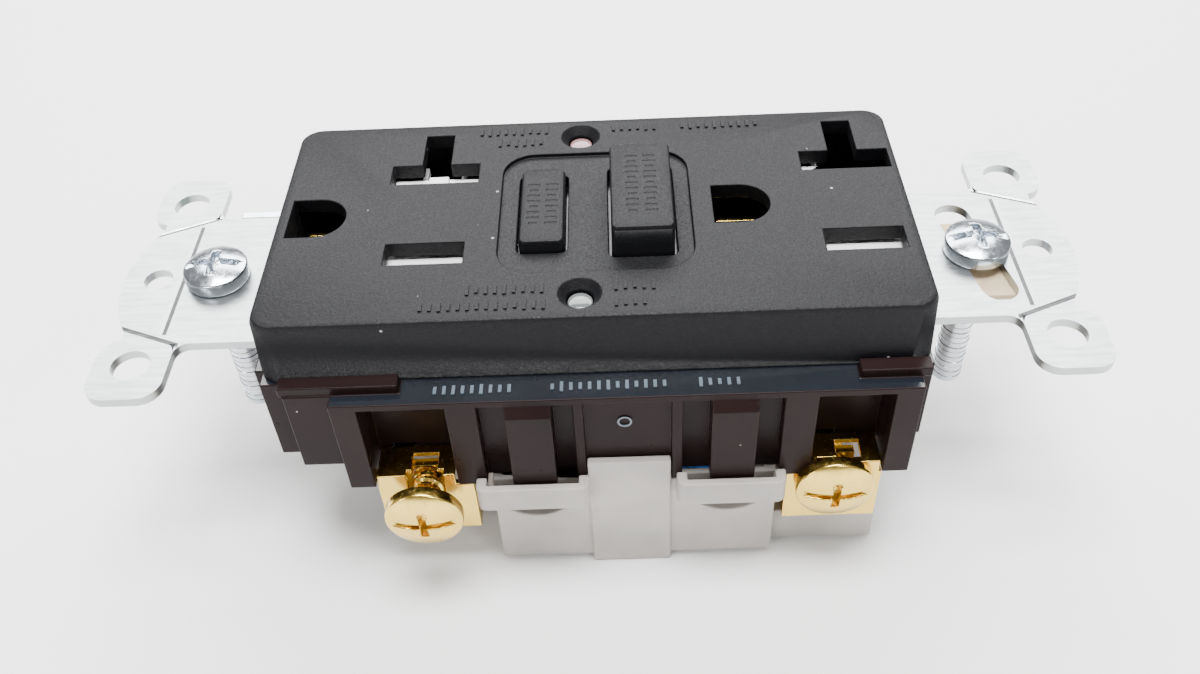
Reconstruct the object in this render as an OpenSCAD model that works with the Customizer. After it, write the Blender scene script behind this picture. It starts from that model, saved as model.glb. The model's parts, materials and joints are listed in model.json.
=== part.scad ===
// Ground-fault receptacle: a twin 20 A outlet with test and reset buttons on a steel strap.
// X runs along the strap, Z points out of the face and Z = 0 is the strap's front surface.
// The hot side is -Y and the neutral side is +Y; the line end is -X and the load end is +X.

/* [Face] */
// Length of the face at its front edge
face_l = 66.8; // [66.4:0.1:80]
// Width of the face at its front edge
face_w = 33.2; // [31.6:0.1:40]
// Height of the front surface above the strap
face_top = 7.85; // [7.4:0.05:9.6]
// How far each side spreads towards the strap
face_draft = 0.35; // [0:0.05:0.6]
// Radius of the face's corners in plan
face_corner = 2.2; // [1:0.1:5]
// Size of the bevel round the front edge
face_edge = 0.7; // [0.2:0.1:1]
// Thickness of the face's side walls
face_wall = 1.5; // [1.2:0.1:2]
// Thickness of the front skin
face_skin = 1.75; // [1.5:0.05:2]
// Depth of the shallow recess round the buttons
recess_d = 0.45; // [0.2:0.05:0.8]

/* [Outlets] */
// Centre of the left outlet's blade slots
left_slot_x = -17.1; // [-18:0.1:-16.6]
// Centre of the right outlet's blade slots
right_slot_x = 27.7; // [27.2:0.1:27.9]
// Distance from a ground hole to its blade slots
ground_pitch = 12; // [11.6:0.1:12.2]
// Distance from the middle line to each row of blade slots
slot_y = 6.4; // [6.2:0.05:6.6]
// Length of the hot slot
hot_slot_l = 8.1; // [7.6:0.1:8.8]
// Width of the blade slots
slot_w = 3.3; // [2.6:0.1:3.4]
// Length of the neutral slot's bar
neutral_slot_l = 9.6; // [9:0.1:9.8]
// Width of the neutral slot's stem
stem_w = 3.1; // [2.6:0.1:3.4]
// Distance from the middle line to the end of the stem
stem_end = 14.2; // [13:0.1:14.4]
// Radius of the ground hole's round side
ground_r = 3.1; // [3:0.05:3.3]

/* [Buttons] */
// Middle of the test button along the face
test_x = -5.08; // [-5.4:0.05:-4.8]
// Length of the test button along the face
test_l = 4.65; // [4:0.05:5.2]
// Width of the test button
test_w = 12.4; // [10:0.1:13]
// Height of the test button's top above the strap
test_top = 8.7; // [8.4:0.05:9.2]
// Middle of the reset button along the face
reset_x = 5.3; // [5.1:0.05:5.5]
// Length of the reset button along the face
reset_l = 6.4; // [6:0.1:7]
// Width of the reset button
reset_w = 14.4; // [12:0.1:15]
// Height of the released reset button's top above the strap
reset_top = 11; // [10.6:0.1:11.4]
// Gap round each button
button_gap = 0.3; // [0.2:0.05:0.5]

/* [Strap] */
// Thickness of the strap
strap_t = 1; // [0.8:0.05:1.6]
// Width of the strap beyond the body
strap_w = 20.6; // [18:0.1:21]
// Overall length of the strap
strap_l = 104.4; // [103.4:0.1:108]
// Distance between the wall plate's screw holes
plate_pitch = 96.8; // [96:0.1:97.2]
// Radius of the wall plate's screw holes
plate_hole_r = 1.6; // [1.4:0.05:2]
// Distance between the mounting screws
box_pitch = 83.3; // [82.5:0.1:84]
// Distance between the ear holes along the strap
ear_pitch_x = 95.7; // [94:0.1:97]
// Distance between the ear holes across the strap
ear_pitch_y = 26.4; // [25:0.1:28]
// Radius of the ear holes
ear_hole_r = 2.05; // [1.5:0.05:2.4]
// Width across the ears
ear_span = 36; // [34:0.1:38]

/* [Housings] */
// Length of the middle housing's narrow part
housing_l = 67.2; // [66.6:0.1:68]
// Width of the middle housing's narrow part
housing_w = 34.4; // [34:0.1:36]
// Width of the middle housing's wide part
wide_w = 40.8; // [40.4:0.1:42]
// Height of the middle housing's ledge above the strap
ledge_z = 0.45; // [0.2:0.05:0.5]
// Depth of the middle housing below the strap
housing_d = 12.3; // [12:0.1:13]
// Thickness of the middle housing's floor
floor_t = 1.4; // [1:0.1:1.5]
// Depth of the rear cover's back below the strap
rear_d = 25.5; // [25.3:0.1:30]
// Thickness of the rear cover's walls
rear_wall = 1.4; // [1:0.1:1.6]

/* [Screws] */
// Radius of the screw threads
screw_r = 1.75; // [1.5:0.05:1.9]
// Radius of the terminal screw heads
terminal_head_r = 4.1; // [3.4:0.1:4.4]
// Radius of the mounting screw heads
box_head_r = 3.5; // [3.2:0.1:4]
// Length of the mounting screws below the strap
box_screw_l = 20; // [16:0.1:26]
// Radial clearance of a screw in its thread
thread_gap = 0.05; // [0.02:0.01:0.08]

/* [Hidden] */
$fn = 48;
eps = 0.02;
far = 60;

// Outlets: the two blade-slot centres, and the ground holes to their left.
left_ground_x = left_slot_x - ground_pitch;
right_ground_x = right_slot_x - ground_pitch;
slot_depth = 8.6;
ground_leaf_y = 2.45;

// Face: the underside of its skin, and its skirt.
skin_z = face_top - face_skin;
skirt_z = ledge_z + 0.05;
inner_l = face_l - 2 * face_wall;
inner_w = face_w - 2 * face_wall;
recess_l = 20.1;
recess_w = 19.8;
recess_x = 0.45;
recess_r = 3.5;
lamp_x = -1.15;
lamp_y = 13.1;
lamp_r = 1.25;
boss_x = face_l / 2 - face_wall - 0.5;
boss_y = face_w / 2 - face_wall - 0.7;
boss_r = 1.6;
cover_screw_r = 0.9;

// Shutters: a plate that slides on a tray under the slots.
tray_t = 1;
shutter_t = 2;
shutter_top = skin_z - 0.1;
shutter_z = shutter_top - shutter_t - 0.4;
tray_z = shutter_z - 0.2 - tray_t;
shutter_travel = slot_w + 0.6;
shutter_l = neutral_slot_l + 0.2;

// Housing: the wide part is set towards the load end.
wide_x0 = -26.3;
wide_x1 = 32.1;
core_w = wide_w - 2.8;
bay_x = [-23.6, 21.9];
bay_l = [8.6, 7.5];
bay_y = 15.9;
bay_low_y = 14.9;
channel_y0 = 4;
channel_y1 = 10.3;
channel_x0 = left_slot_x - 7;
channel_x1 = right_slot_x + 4.6;
end_step = 0.9;
lip_z = -0.4;
housing_z = -housing_d;
floor_z = housing_z + floor_t;

// Rear cover: a deep box with a narrow line end and a stepped load end.
rear_z = -rear_d;
rear_top = housing_z - 0.1;
loop_z = -14.4;
loop_top = -11.1;
deep_x0 = -11.4;
deep_x1 = 18.6;
line_end_x = -23.6;
load_end_x = 30;
line_half_w = 14;
load_half_w = wide_w / 2 - 1.4;
deep_half_w = wide_w / 2;
floor_in = rear_z + 1.5;
board_t = 1.6;
board_z = floor_in + 0.6;
board_top = board_z + board_t;

// Terminals, from the middle line outwards: clamp, plate and screw head.
terminal_x = [-18.4, 24.5];
terminal_z = -13.5;
plate_y = wide_w / 2 - 1;
plate_t = 0.8;
clamp_y = plate_y - 2.2;
clamp_t = 1;
clamp_half = 2.4;
screw_tip_y = plate_y - 4.2;
backed_out = 2.2;
tab_x = [-20.9, 23.7];
tab_w = 2.2;
tab_z = terminal_z + 2.05;
tab_t = 0.6;
tab_end_y = [11.6, 13.6];
riser_top = [tab_z + tab_t, -3];

// Trip mechanism.
pin_r = 1;
pin_head_r = 1.45;
latch_z = -17.5;
latch_t = 0.8;
plunger_r = 1.6;
plunger_travel = 1.5;
solenoid_x0 = 13;
solenoid_x1 = 26;
solenoid_z = -17.2;
arm_y = 7;
arm_z = -15.3;
arm_t = 0.5;
arm_x0 = -12;
contact_x = 9.5;
contact_r = 1.3;
lug_top = arm_z - 0.15;

// Sensing coils.
transformer_x = -15;
transformer_r = 5.9;
coil_h = 3;

// Mounting screws: a neck runs through a fibre washer under the strap, which keeps the screw.
ground_x = -housing_l / 2 - 4.6;
ground_z = -6.6;
washer_t = 0.7;
washer_z = -strap_t - 0.1 - washer_t;
box_head_z = 0.1;
box_head_h = 2.4;
neck_r = screw_r - 0.3;
neck_z = washer_z - 0.5;

// A box between two corners.
module block(x, y, z) {
    translate([x[0], y[0], z[0]])
        cube([x[1] - x[0], y[1] - y[0], z[1] - z[0]]);
}

// A box that runs the same distance to each side of the middle line.
module bar(x, half_y, z) {
    block(x, [-half_y, half_y], z);
}

// A piece and its copy across the middle line.
module both_sides() {
    children();
    mirror([0, 1, 0]) children();
}

// A rectangle with round corners, centred.
module round_rect(l, w, r) {
    square([l - 2 * r, w], center = true);
    square([l, w - 2 * r], center = true);
    for (sx = [-1, 1], sy = [-1, 1])
        translate([sx * (l / 2 - r), sy * (w / 2 - r)]) circle(r);
}

// A thin layer of a rounded rectangle, for hulls.
module layer(l, w, r, z) {
    translate([0, 0, z]) linear_extrude(eps) round_rect(l, w, r, $fn = 32);
}

// A cylinder along Y from one distance to another, on the positive side.
module rod_y(x, z, r, y) {
    translate([x, y[0], z]) rotate([-90, 0, 0]) cylinder(h = y[1] - y[0], r = r);
}

// A cylinder along X.
module rod_x(x, y, z, r) {
    translate([x[0], y, z]) rotate([0, 90, 0]) cylinder(h = x[1] - x[0], r = r);
}

// A coil of round wire that stands on z = 0.
function wire_ring(r, wire, angle, z) =
    [for (k = [0:7]) [
        (r + wire * cos(k * 45)) * cos(angle),
        (r + wire * cos(k * 45)) * sin(angle),
        z + wire * sin(k * 45)]];
function ring_side(n) =
    [for (i = [0:n - 2], k = [0:7])
        [i * 8 + k, i * 8 + (k + 1) % 8, (i + 1) * 8 + (k + 1) % 8, (i + 1) * 8 + k]];
module coil(r, wire, height, turns) {
    per_turn = 14;
    n = turns * per_turn + 1;
    pitch = (height - 2 * wire) / turns;
    points = [for (i = [0:n - 1])
        each wire_ring(r, wire, i * 360 / per_turn, wire + pitch * i / per_turn)];
    caps = [[for (k = [7:-1:0]) k], [for (k = [0:7]) (n - 1) * 8 + k]];
    polyhedron(points, concat(caps, ring_side(n)));
}

// The openings of one outlet, as a flat shape grown by a margin.
module hot_slot(m = 0) {
    translate([0, -slot_y]) square([hot_slot_l + 2 * m, slot_w + 2 * m], center = true);
}
module neutral_slot(m = 0) {
    bar_y = slot_y + 0.6;
    translate([0, bar_y]) square([neutral_slot_l + 2 * m, slot_w + 2 * m], center = true);
    translate([-stem_w / 2 - m, bar_y]) square([stem_w + 2 * m, stem_end - bar_y + m]);
}
module ground_hole() {
    back = ground_r - 0.2;
    intersection() {
        translate([-back, -ground_r]) square([2 * ground_r, 2 * ground_r]);
        union() {
            circle(ground_r);
            translate([-back, -ground_r]) square([back, 2 * ground_r]);
        }
    }
}

// Faces and housings.
module face_shell() {
    base_l = face_l + 2 * face_draft;
    base_w = face_w + 2 * face_draft;
    hull() {
        layer(base_l, base_w, face_corner + face_draft, skirt_z);
        layer(face_l, face_w, face_corner, face_top - face_edge - eps);
        layer(face_l - 0.5 * face_edge, face_w - 0.5 * face_edge, face_corner, face_top - 0.3 * face_edge);
        layer(face_l - 1.6 * face_edge, face_w - 1.6 * face_edge, face_corner, face_top - eps);
    }
}
module face_cutouts() {
    translate([0, 0, skirt_z - 1])
        linear_extrude(skin_z - skirt_z + 1) round_rect(inner_l, inner_w, 1);
    for (x = [left_slot_x, right_slot_x])
        translate([x, 0, skin_z - 1]) linear_extrude(far) {
            hot_slot();
            neutral_slot();
        }
    bar([right_slot_x - 5, right_slot_x + shutter_l / 2 + 0.15], stem_end, [skirt_z - 1, skin_z]);
    for (x = [left_ground_x, right_ground_x])
        translate([x, 0, skin_z - 1]) linear_extrude(far) ground_hole();
    translate([recess_x, 0, face_top - recess_d])
        linear_extrude(far) round_rect(recess_l, recess_w, recess_r);
    button_opening(test_x, test_l, test_w);
    button_opening(reset_x, reset_l, reset_w);
    for (y = [-lamp_y, lamp_y]) translate([lamp_x, y, 0]) {
        cylinder(h = far, r = lamp_r + 0.15);
        translate([0, 0, face_top - 0.95]) cylinder(h = 1, r1 = lamp_r + 0.15, r2 = 2.25);
    }
}
module button_opening(x, l, w) {
    translate([x, 0, skin_z - 1])
        linear_extrude(far) round_rect(l + 2 * button_gap, w + 2 * button_gap, 0.8);
}
module face_cover() {
    color("#3a393c") difference() {
        union() {
            difference() {
                face_shell();
                face_cutouts();
            }
            for (sx = [-1, 1], sy = [-1, 1])
                translate([sx * boss_x, sy * boss_y, skirt_z]) cylinder(h = skin_z - skirt_z, r = boss_r);
            for (y = [-lamp_y, lamp_y]) translate([lamp_x, y, skirt_z]) difference() {
                cylinder(h = skin_z - skirt_z, r = lamp_r + 0.9);
                translate([0, 0, -1]) cylinder(h = far, r = lamp_r + 0.15);
            }
        }
        for (sx = [-1, 1], sy = [-1, 1])
            translate([sx * boss_x, sy * boss_y, 0]) cylinder(h = skin_z - 0.4, r = cover_screw_r + thread_gap);
    }
}

module strap_end(slot_l) {
    slot_r = screw_r + 0.2;
    fillet_r = 1.5;
    half = strap_w / 2;
    ear_w = 7.9;
    ear_mid = ear_pitch_x / 2;
    bulge_r = 16.5;
    difference() {
        union() {
            translate([housing_l / 2 - 9, -half]) square([49.9 - housing_l / 2 + 9, strap_w]);
            intersection() {
                translate([strap_l / 2 - bulge_r, 0]) circle(bulge_r, $fn = 96);
                translate([40, -8.6]) square([20, 17.2]);
            }
            both_sides() translate([ear_mid, (half + ear_span / 2) / 2 - 0.4])
                round_rect(ear_w, ear_span / 2 - half + 0.8, 2.4);
            both_sides() translate([ear_mid - ear_w / 2 - fillet_r, half]) difference() {
                square([fillet_r + eps, fillet_r]);
                translate([0, fillet_r]) circle(fillet_r);
            }
        }
        both_sides() translate([ear_mid, ear_pitch_y / 2]) circle(ear_hole_r);
        translate([plate_pitch / 2, 0]) circle(plate_hole_r);
        translate([box_pitch / 2, 0]) rotate(10.6) {
            square([2 * slot_r, slot_l], center = true);
            for (y = [-slot_l / 2, slot_l / 2]) translate([0, y]) circle(slot_r);
        }
    }
}
module mounting_strap() {
    spine = 3.4;
    collar_w = 16;
    color("#b9bcc0") translate([0, 0, -strap_t]) linear_extrude(strap_t) difference() {
        union() {
            strap_end(12.4);
            rotate(180) strap_end(1);
            translate([-housing_l / 2, -spine]) square([housing_l, 2 * spine]);
            translate([-9, -collar_w / 2]) square([19, collar_w]);
            for (x = [left_ground_x, right_ground_x]) translate([x, 0]) square([11, 9.6], center = true);
        }
        for (x = [left_slot_x, right_slot_x]) translate([x, 0]) {
            square_window(hot_slot_l + 2.4, slot_w + 2.4, -slot_y);
            square_window(neutral_slot_l + 2, slot_w + 2.4, slot_y + 0.6);
            translate([-stem_w / 2 - 0.8, slot_y]) square([stem_w + 1.6, 12]);
        }
        for (x = [left_ground_x, right_ground_x]) translate([x, 0]) square([6.6, 6.6], center = true);
        translate([reset_x, 0]) circle(pin_head_r + 0.4);
        translate([test_x, 0]) square([3, 3.4], center = true);
    }
}
module square_window(l, w, y) {
    translate([0, y]) square([l, w], center = true);
}

module snap_post(x) {
    both_sides() difference() {
        block(x, [core_w / 2 - 1, wide_w / 2 + 0.9], [housing_z + 0.8, 0.1]);
        translate([x[0] - 1, wide_w / 2 + 0.9, -1.25]) rotate([45, 0, 0]) cube([x[1] - x[0] + 2, 3, 3]);
    }
}
module housing_outside() {
    core_y = core_w / 2;
    wide_y = wide_w / 2;
    bar([-housing_l / 2, housing_l / 2], housing_w / 2, [-10, ledge_z]);
    bar([-housing_l / 2 - end_step, 0], housing_w / 2 - 2, [-10.9, ledge_z]);
    bar([wide_x0 - 4.7, wide_x0], core_y, [-10, ledge_z]);
    bar([wide_x0, wide_x1], core_y, [housing_z, ledge_z]);
    bar([wide_x0, wide_x1], wide_y, [lip_z, ledge_z]);
    for (x = [[wide_x0, -23.6], [-14.9, -11.8], [-2.3, -1.3], [7.5, 8.6], [18.6, 22], [29.4, wide_x1]])
        bar(x, wide_y, [housing_z, ledge_z]);
    bar([-1.3, 7.5], wide_y - 0.6, [housing_z, ledge_z]);
    snap_post([-9, -4.4]);
    snap_post([11.4, 16]);
    both_sides() {
        block([-31.4, -19.4], [housing_w / 2 - 0.1, housing_w / 2 + 1.6], [ledge_z - 0.1, 1.5]);
        block([26, 33], [housing_w / 2 - 0.1, housing_w / 2 + 1.6], [ledge_z - 0.1, 1.5]);
    }
    translate([left_ground_x, 0, 0]) bar([-4.6, 4.6], 4.4, [housing_z, -9]);
}
module housing_inside() {
    strap_gap = 0.15;
    bar([-far, far], strap_w / 2 + strap_gap, [-strap_t - strap_gap, far]);
    both_sides() {
        block([channel_x0, channel_x1], [channel_y0, channel_y1], [floor_z, far]);
        for (i = [0, 1]) {
            bay = [bay_x[i], bay_x[i] + bay_l[i]];
            slot = [tab_x[i] - tab_w / 2 - 0.2, tab_x[i] + tab_w / 2 + 0.2];
            block(bay, [bay_y, far], [housing_z - 1, lip_z]);
            block(bay, [bay_low_y, far], [housing_z - 1, tab_z - 0.1]);
            block(slot, [tab_end_y[i] - 0.3, bay_y + 1], [tab_z - 0.3, tab_z + tab_t + 0.3]);
            block(slot, [tab_end_y[i] - 0.3, tab_end_y[i] + tab_t + 0.3], [-far, riser_top[i] + 0.3]);
        }
        block([tab_x[1] - tab_w / 2 - 0.2, tab_x[1] + tab_w / 2 + 0.2], [channel_y1 - 1, tab_end_y[1] + 0.5],
            [riser_top[1] - tab_t - 0.3, riser_top[1] + 0.3]);
        translate([contact_x, arm_y, housing_z - 1]) cylinder(h = 4, r = contact_r + 0.5);
        translate([lamp_x, lamp_y, -far]) cylinder(h = 2 * far, r = lamp_r + 0.15);
        for (sx = [-1, 1]) translate([sx * boss_x, boss_y, 0]) {
            translate([0, 0, -far]) cylinder(h = far + 5, r = cover_screw_r + 0.15);
            translate([0, 0, -far]) cylinder(h = far - 6, r = 2.1);
        }
    }
    for (x = [left_slot_x, right_slot_x])
        block([x - stem_w / 2 - 0.6, x + stem_w / 2 + 0.6], [channel_y1 - 1, stem_end + 0.5], [-slot_depth, far]);
    for (x = [left_ground_x, right_ground_x])
        bar([x - 3.4, x + 3.4], 3.2, [housing_z + 1, far]);
    translate([reset_x, 0, -far]) cylinder(h = 2 * far, r = pin_head_r + 0.3);
    bar([test_x - 1.4, test_x + 1.4], 1.6, [-far, far]);
}
module middle_housing() {
    color("#29272a") difference() {
        housing_outside();
        housing_inside();
    }
}

module rear_box(grow, z) {
    bar([line_end_x - grow, deep_x1], line_half_w + grow, z);
    bar([deep_x0 - grow, deep_x1 + grow], deep_half_w + grow, z);
}
module load_end(grow, z) {
    low = [z[0], min(z[1], -20.4 + grow)];
    bar([deep_x1 - 2, load_end_x + grow], bay_low_y - 1.9 + grow, z);
    bar([deep_x1 - 2, load_end_x + grow], load_half_w + grow, low);
}
module snap_loop(x) {
    mid_x = (x[0] + x[1]) / 2;
    reach = deep_half_w + 2;
    post_gap = [x[0] + 1.1, x[1] - 1.1];
    both_sides() difference() {
        union() {
            translate([mid_x, reach - 3, loop_z]) linear_extrude(rear_top - loop_z)
                round_rect(x[1] - x[0], 6, 0.9);
            translate([mid_x, reach - 3, rear_top - eps]) linear_extrude(loop_top - rear_top + eps) difference() {
                round_rect(x[1] - x[0], 6, 0.9);
                translate([-far, -3 - eps]) square([2 * far, 4.1]);
            }
        }
        block([x[0] - 1, x[1] + 1], [0, deep_half_w - 0.6], [loop_z - 1, 0]);
        block(post_gap, [deep_half_w - 1, deep_half_w + 1.1], [loop_z + 1, 0]);
    }
}
module rear_cover() {
    outer = [rear_z, rear_top];
    inner = [floor_in, 0];
    color("#b9b5b1") {
        difference() {
            union() {
                rear_box(0, outer);
                load_end(0, outer);
                both_sides() block([-1.2, 7.4], [deep_half_w - 0.5, deep_half_w + 0.5], [rear_z - 0.7, -9]);
                bar([-1.2, 7.4], deep_half_w + 0.5, [rear_z - 0.7, rear_z + 1]);
            }
            rear_box(-rear_wall, inner);
            load_end(-rear_wall, inner);
            bar([-1.7, 7.9], wide_w / 2 - 0.5, [rear_top, 0]);
            both_sides() for (x = [-6.9, 13.6])
                rod_y(x, loop_z + 2, 5.4, [deep_half_w - 0.7, deep_half_w + 0.1]);
        }
        snap_loop([-12.9, -1.1]);
        snap_loop([8, 19.3]);
        for (x = [-19, 14, 26], y = [-10.5, 10.5])
            translate([x, y, floor_in - eps]) cylinder(h = board_z - floor_in, r = 1.5);
    }
}

// Buttons, springs and lamps.
module button_cap(x, l, w, top, bottom) {
    edge = 0.5;
    translate([x, 0, 0]) {
        hull() {
            layer(l, w, 0.6, bottom);
            layer(l, w, 0.6, top - edge);
            layer(l - 0.6 * edge, w - 0.6 * edge, 0.6, top - 0.3 * edge);
            layer(l - 2 * edge, w - 2 * edge, 0.6, top - eps);
        }
        bar([-l / 2 - 0.7, l / 2 + 0.7], w / 2 + 0.7, [bottom, skin_z - 0.15]);
    }
}
module reset_button() {
    bottom = skin_z - 1.1;
    color("#232226") difference() {
        button_cap(reset_x, reset_l, reset_w, reset_top, bottom);
        translate([reset_x, 0, bottom - 1]) cylinder(h = 4, r = 2.6);
        translate([reset_x, 0, bottom]) cylinder(h = 4.4, r = pin_r);
    }
}
module reset_pin() {
    tip = latch_z + latch_t + 2.3;
    color("#c9cacc") translate([reset_x, 0, 0]) {
        translate([0, 0, tip]) cylinder(h = 0.8, r = pin_head_r);
        translate([0, 0, tip + 0.8 - eps]) cylinder(h = skin_z - 1.1 + 4.4 - tip - 0.8, r = pin_r);
    }
}
module reset_spring() {
    color("#c9cacc") translate([reset_x, 0, 0.1]) coil(2, 0.2, skin_z + 1.7, 7);
}
module test_button() {
    bottom = skin_z - 1.1;
    stem_end_z = housing_z + 1;
    color("#3a393c") {
        button_cap(test_x, test_l, test_w, test_top, bottom);
        bar([test_x - 1, test_x + 1], 1.2, [stem_end_z, bottom + eps]);
    }
}
module test_spring() {
    color("#c9cacc") translate([test_x, 0, 0.1]) coil(2.1, 0.18, skin_z - 1.35, 5);
}
module test_contact() {
    leaf_z = housing_z - 1;
    color("#c9a14a") {
        bar([test_x - 1.5, test_x + 1.5], 1, [leaf_z, leaf_z + 0.3]);
        bar([test_x - 1.5, test_x - 1.1], 1, [board_top + 0.02, leaf_z]);
    }
}
module light_pipe(y, tone) {
    bottom = board_top + 1.7;
    color(tone) translate([lamp_x, y, bottom]) cylinder(h = face_top - 0.95 - bottom, r = lamp_r);
}
module power_light_pipe() {
    light_pipe(-lamp_y, "#9da3a6");
}
module trip_light_pipe() {
    light_pipe(lamp_y, "#c99a98");
}
module led(y, tone) {
    color(tone) translate([lamp_x, y, board_top]) {
        translate([0, 0, 0.02]) bar([-1.6, 1.6], 0.9, [0, 0.6]);
        translate([0, 0, 0.6]) cylinder(h = 0.8, r = 0.8);
    }
}
module power_led() {
    led(-lamp_y, "#dfe8d8");
}
module trip_led() {
    led(lamp_y, "#e8d0cc");
}

// Shutters.
module shutter_tray(x) {
    half = shutter_l / 2;
    y0 = -slot_y - slot_w / 2 - shutter_travel - 0.9;
    y1 = slot_y + slot_w / 2 + 1.4;
    color("#eceae4") translate([x, 0, 0]) difference() {
        union() {
            block([-half - 1, half], [y0, y1], [tray_z, tray_z + tray_t]);
            block([-stem_w / 2 - 1, stem_w / 2 + 1], [y1 - eps, stem_end], [tray_z, tray_z + tray_t]);
            block([-half - 1, -half - 0.2], [y0, y1], [tray_z, shutter_top]);
            block([-half - 1, half], [y0 - 0.8, y0], [tray_z, shutter_top]);
        }
        translate([0, 0, tray_z - 1]) linear_extrude(3) {
            hot_slot(0.4);
            neutral_slot(0.4);
        }
        block([half - 3.2, half + 1], [y0 - 1, y0 + 1], [tray_z - 1, skin_z]);
        translate([boss_x - x, boss_y, tray_z - 1]) cylinder(h = skin_z - tray_z + 1, r = boss_r + 0.25);
    }
}
module left_shutter_tray() {
    shutter_tray(left_slot_x);
}
module right_shutter_tray() {
    shutter_tray(right_slot_x);
}
module shutter(x) {
    half = shutter_l / 2;
    hot_edge = -slot_y + slot_w / 2 + 0.25;
    color("#f4f3ee") translate([x, 0, 0]) difference() {
        union() {
            block([-half, half], [-slot_y - slot_w / 2 - 0.3, slot_y + 0.6 + slot_w / 2 + 0.25],
                [shutter_z, shutter_z + shutter_t]);
            block([-1.1, 1.1], [slot_y - 0.8, slot_y + 0.6 + slot_w / 2 + 0.25], [shutter_z, shutter_top]);
            block([-2, 2], [-slot_y - 1.6, -slot_y + 0.6], [shutter_z, shutter_top]);
        }
        block([-hot_slot_l / 2 - 0.2, hot_slot_l / 2 + 0.2], [hot_edge, hot_edge + slot_w + 0.7],
            [shutter_z - 1, shutter_top + 1]);
        translate([0, slot_y - 0.7, shutter_top]) rotate([-38, 0, 0])
            cube([6, 4, 1.4], center = true);
    }
}
module left_shutter() {
    shutter(left_slot_x);
}
module right_shutter() {
    shutter(right_slot_x);
}
module shutter_spring(x) {
    start = -slot_y - slot_w / 2 - shutter_travel - 0.85;
    color("#c9cacc") translate([x - shutter_l / 2 + 0.9, start, shutter_z + 1]) rotate([-90, 0, 0])
        coil(0.6, 0.12, shutter_travel + 0.45, 6);
}
module left_shutter_spring() {
    shutter_spring(left_slot_x);
}
module right_shutter_spring() {
    shutter_spring(right_slot_x);
}

// Contacts and terminals; each is drawn on the positive side and mirrored for the hot side.
module bus(mid_y, tall) {
    strip_y = channel_y1 - 0.9;
    block([channel_x0 + 0.6, channel_x1 - 0.6], [strip_y, strip_y + 0.6], [floor_z + 0.3, -2]);
    for (x = [left_slot_x, right_slot_x]) {
        leaf = [x - 3, x + 3];
        block(leaf, [mid_y - 1.3, mid_y - 0.8], [floor_z + 0.3, -2]);
        block(leaf, [mid_y + 0.8, mid_y + 1.3], [floor_z + 0.3, -2]);
        block(leaf, [mid_y - 1.3, strip_y + eps], [floor_z + 0.3, floor_z + 0.9]);
        if (tall)
            for (sx = [-1, 1])
                block([x + sx * 1.05 - 0.2, x + sx * 1.05 + 0.2], [strip_y + 0.5, stem_end], [-slot_depth + 0.3, -2]);
    }
    block([contact_x - 2, contact_x + 2], [arm_y - 2, strip_y + eps], [floor_z + 0.3, floor_z + 0.9]);
    translate([contact_x, arm_y, housing_z - 0.7]) cylinder(h = floor_z + 0.4 - housing_z + 0.7, r = contact_r);
}
module hot_bus() {
    color("#c98a4a") mirror([0, 1, 0]) bus(slot_y, false);
}
module neutral_bus() {
    color("#c9a24a") bus(slot_y + 0.6, true);
}
module ground_contact(x) {
    plate_top = 0.6;
    color("#cda24c") translate([x, 0, 0]) {
        difference() {
            bar([-2.2, 5.2], 3.1, [0.02, plate_top]);
            bar([-3, 2.9], ground_leaf_y, [-1, 1]);
        }
        both_sides() block([-2.2, 2.2], [ground_leaf_y, ground_leaf_y + 0.5], [-8, plate_top]);
        both_sides() block([-2.2, 2.2], [ground_leaf_y, ground_leaf_y + 0.5], [plate_top - eps, 3.4]);
        for (y = [-1.8, 1.8]) translate([4.2, y, plate_top - eps]) cylinder(h = 0.4, r = 0.7);
    }
}
module left_ground_contact() {
    ground_contact(left_ground_x);
}
module right_ground_contact() {
    ground_contact(right_ground_x);
}
module terminal(i, leg) {
    x = terminal_x[i];
    wide = i == 0 ? [x - 5.1, x + 5.1] : [x - 5, x + 5];
    bay = [bay_x[i] + 0.2, bay_x[i] + bay_l[i] - 0.2];
    tab = [tab_x[i] - tab_w / 2, tab_x[i] + tab_w / 2];
    outer = plate_y + plate_t;
    end = [tab_end_y[i], tab_end_y[i] + tab_t];
    top = tab_z + tab_t;
    difference() {
        union() {
            block(wide, [plate_y, outer], [terminal_z - 6.4, housing_z - 0.15]);
            block(bay, [plate_y, outer], [housing_z - 0.2, top]);
            for (xf = [wide[0], wide[1] - 0.7])
                block([xf, xf + 0.7], [plate_y - 1.9, plate_y + eps], [terminal_z - 6.4, housing_z - 0.4]);
            for (xf = [bay[0], bay[1] - 1.9])
                block([xf, xf + 1.9], [bay_y + 0.1, plate_y + eps], [tab_z, top]);
            block(bay, [bay_y + 0.1, clamp_y - 0.1], [tab_z, top]);
        }
        rod_y(x, terminal_z, screw_r + 0.2, [0, far]);
        block([x - screw_r - 0.2, x + screw_r + 0.2], [plate_y - eps, outer + eps], [terminal_z, top + eps]);
    }
    block(tab, [end[0], plate_y + eps], [tab_z, top]);
    if (leg)
        block(tab, end, [board_top + 0.05, tab_z + eps]);
    else {
        block(tab, end, [tab_z, riser_top[i]]);
        block(tab, [channel_y1 - 0.25, end[1]], [riser_top[i] - tab_t, riser_top[i]]);
    }
}
module hot_line_terminal() {
    color("#dcb84e") mirror([0, 1, 0]) terminal(0, true);
}
module hot_load_terminal() {
    color("#dcb84e") mirror([0, 1, 0]) terminal(1, false);
}
module neutral_line_terminal() {
    color("#c4c6c8") terminal(0, true);
}
module neutral_load_terminal() {
    color("#c4c6c8") terminal(1, false);
}
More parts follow.
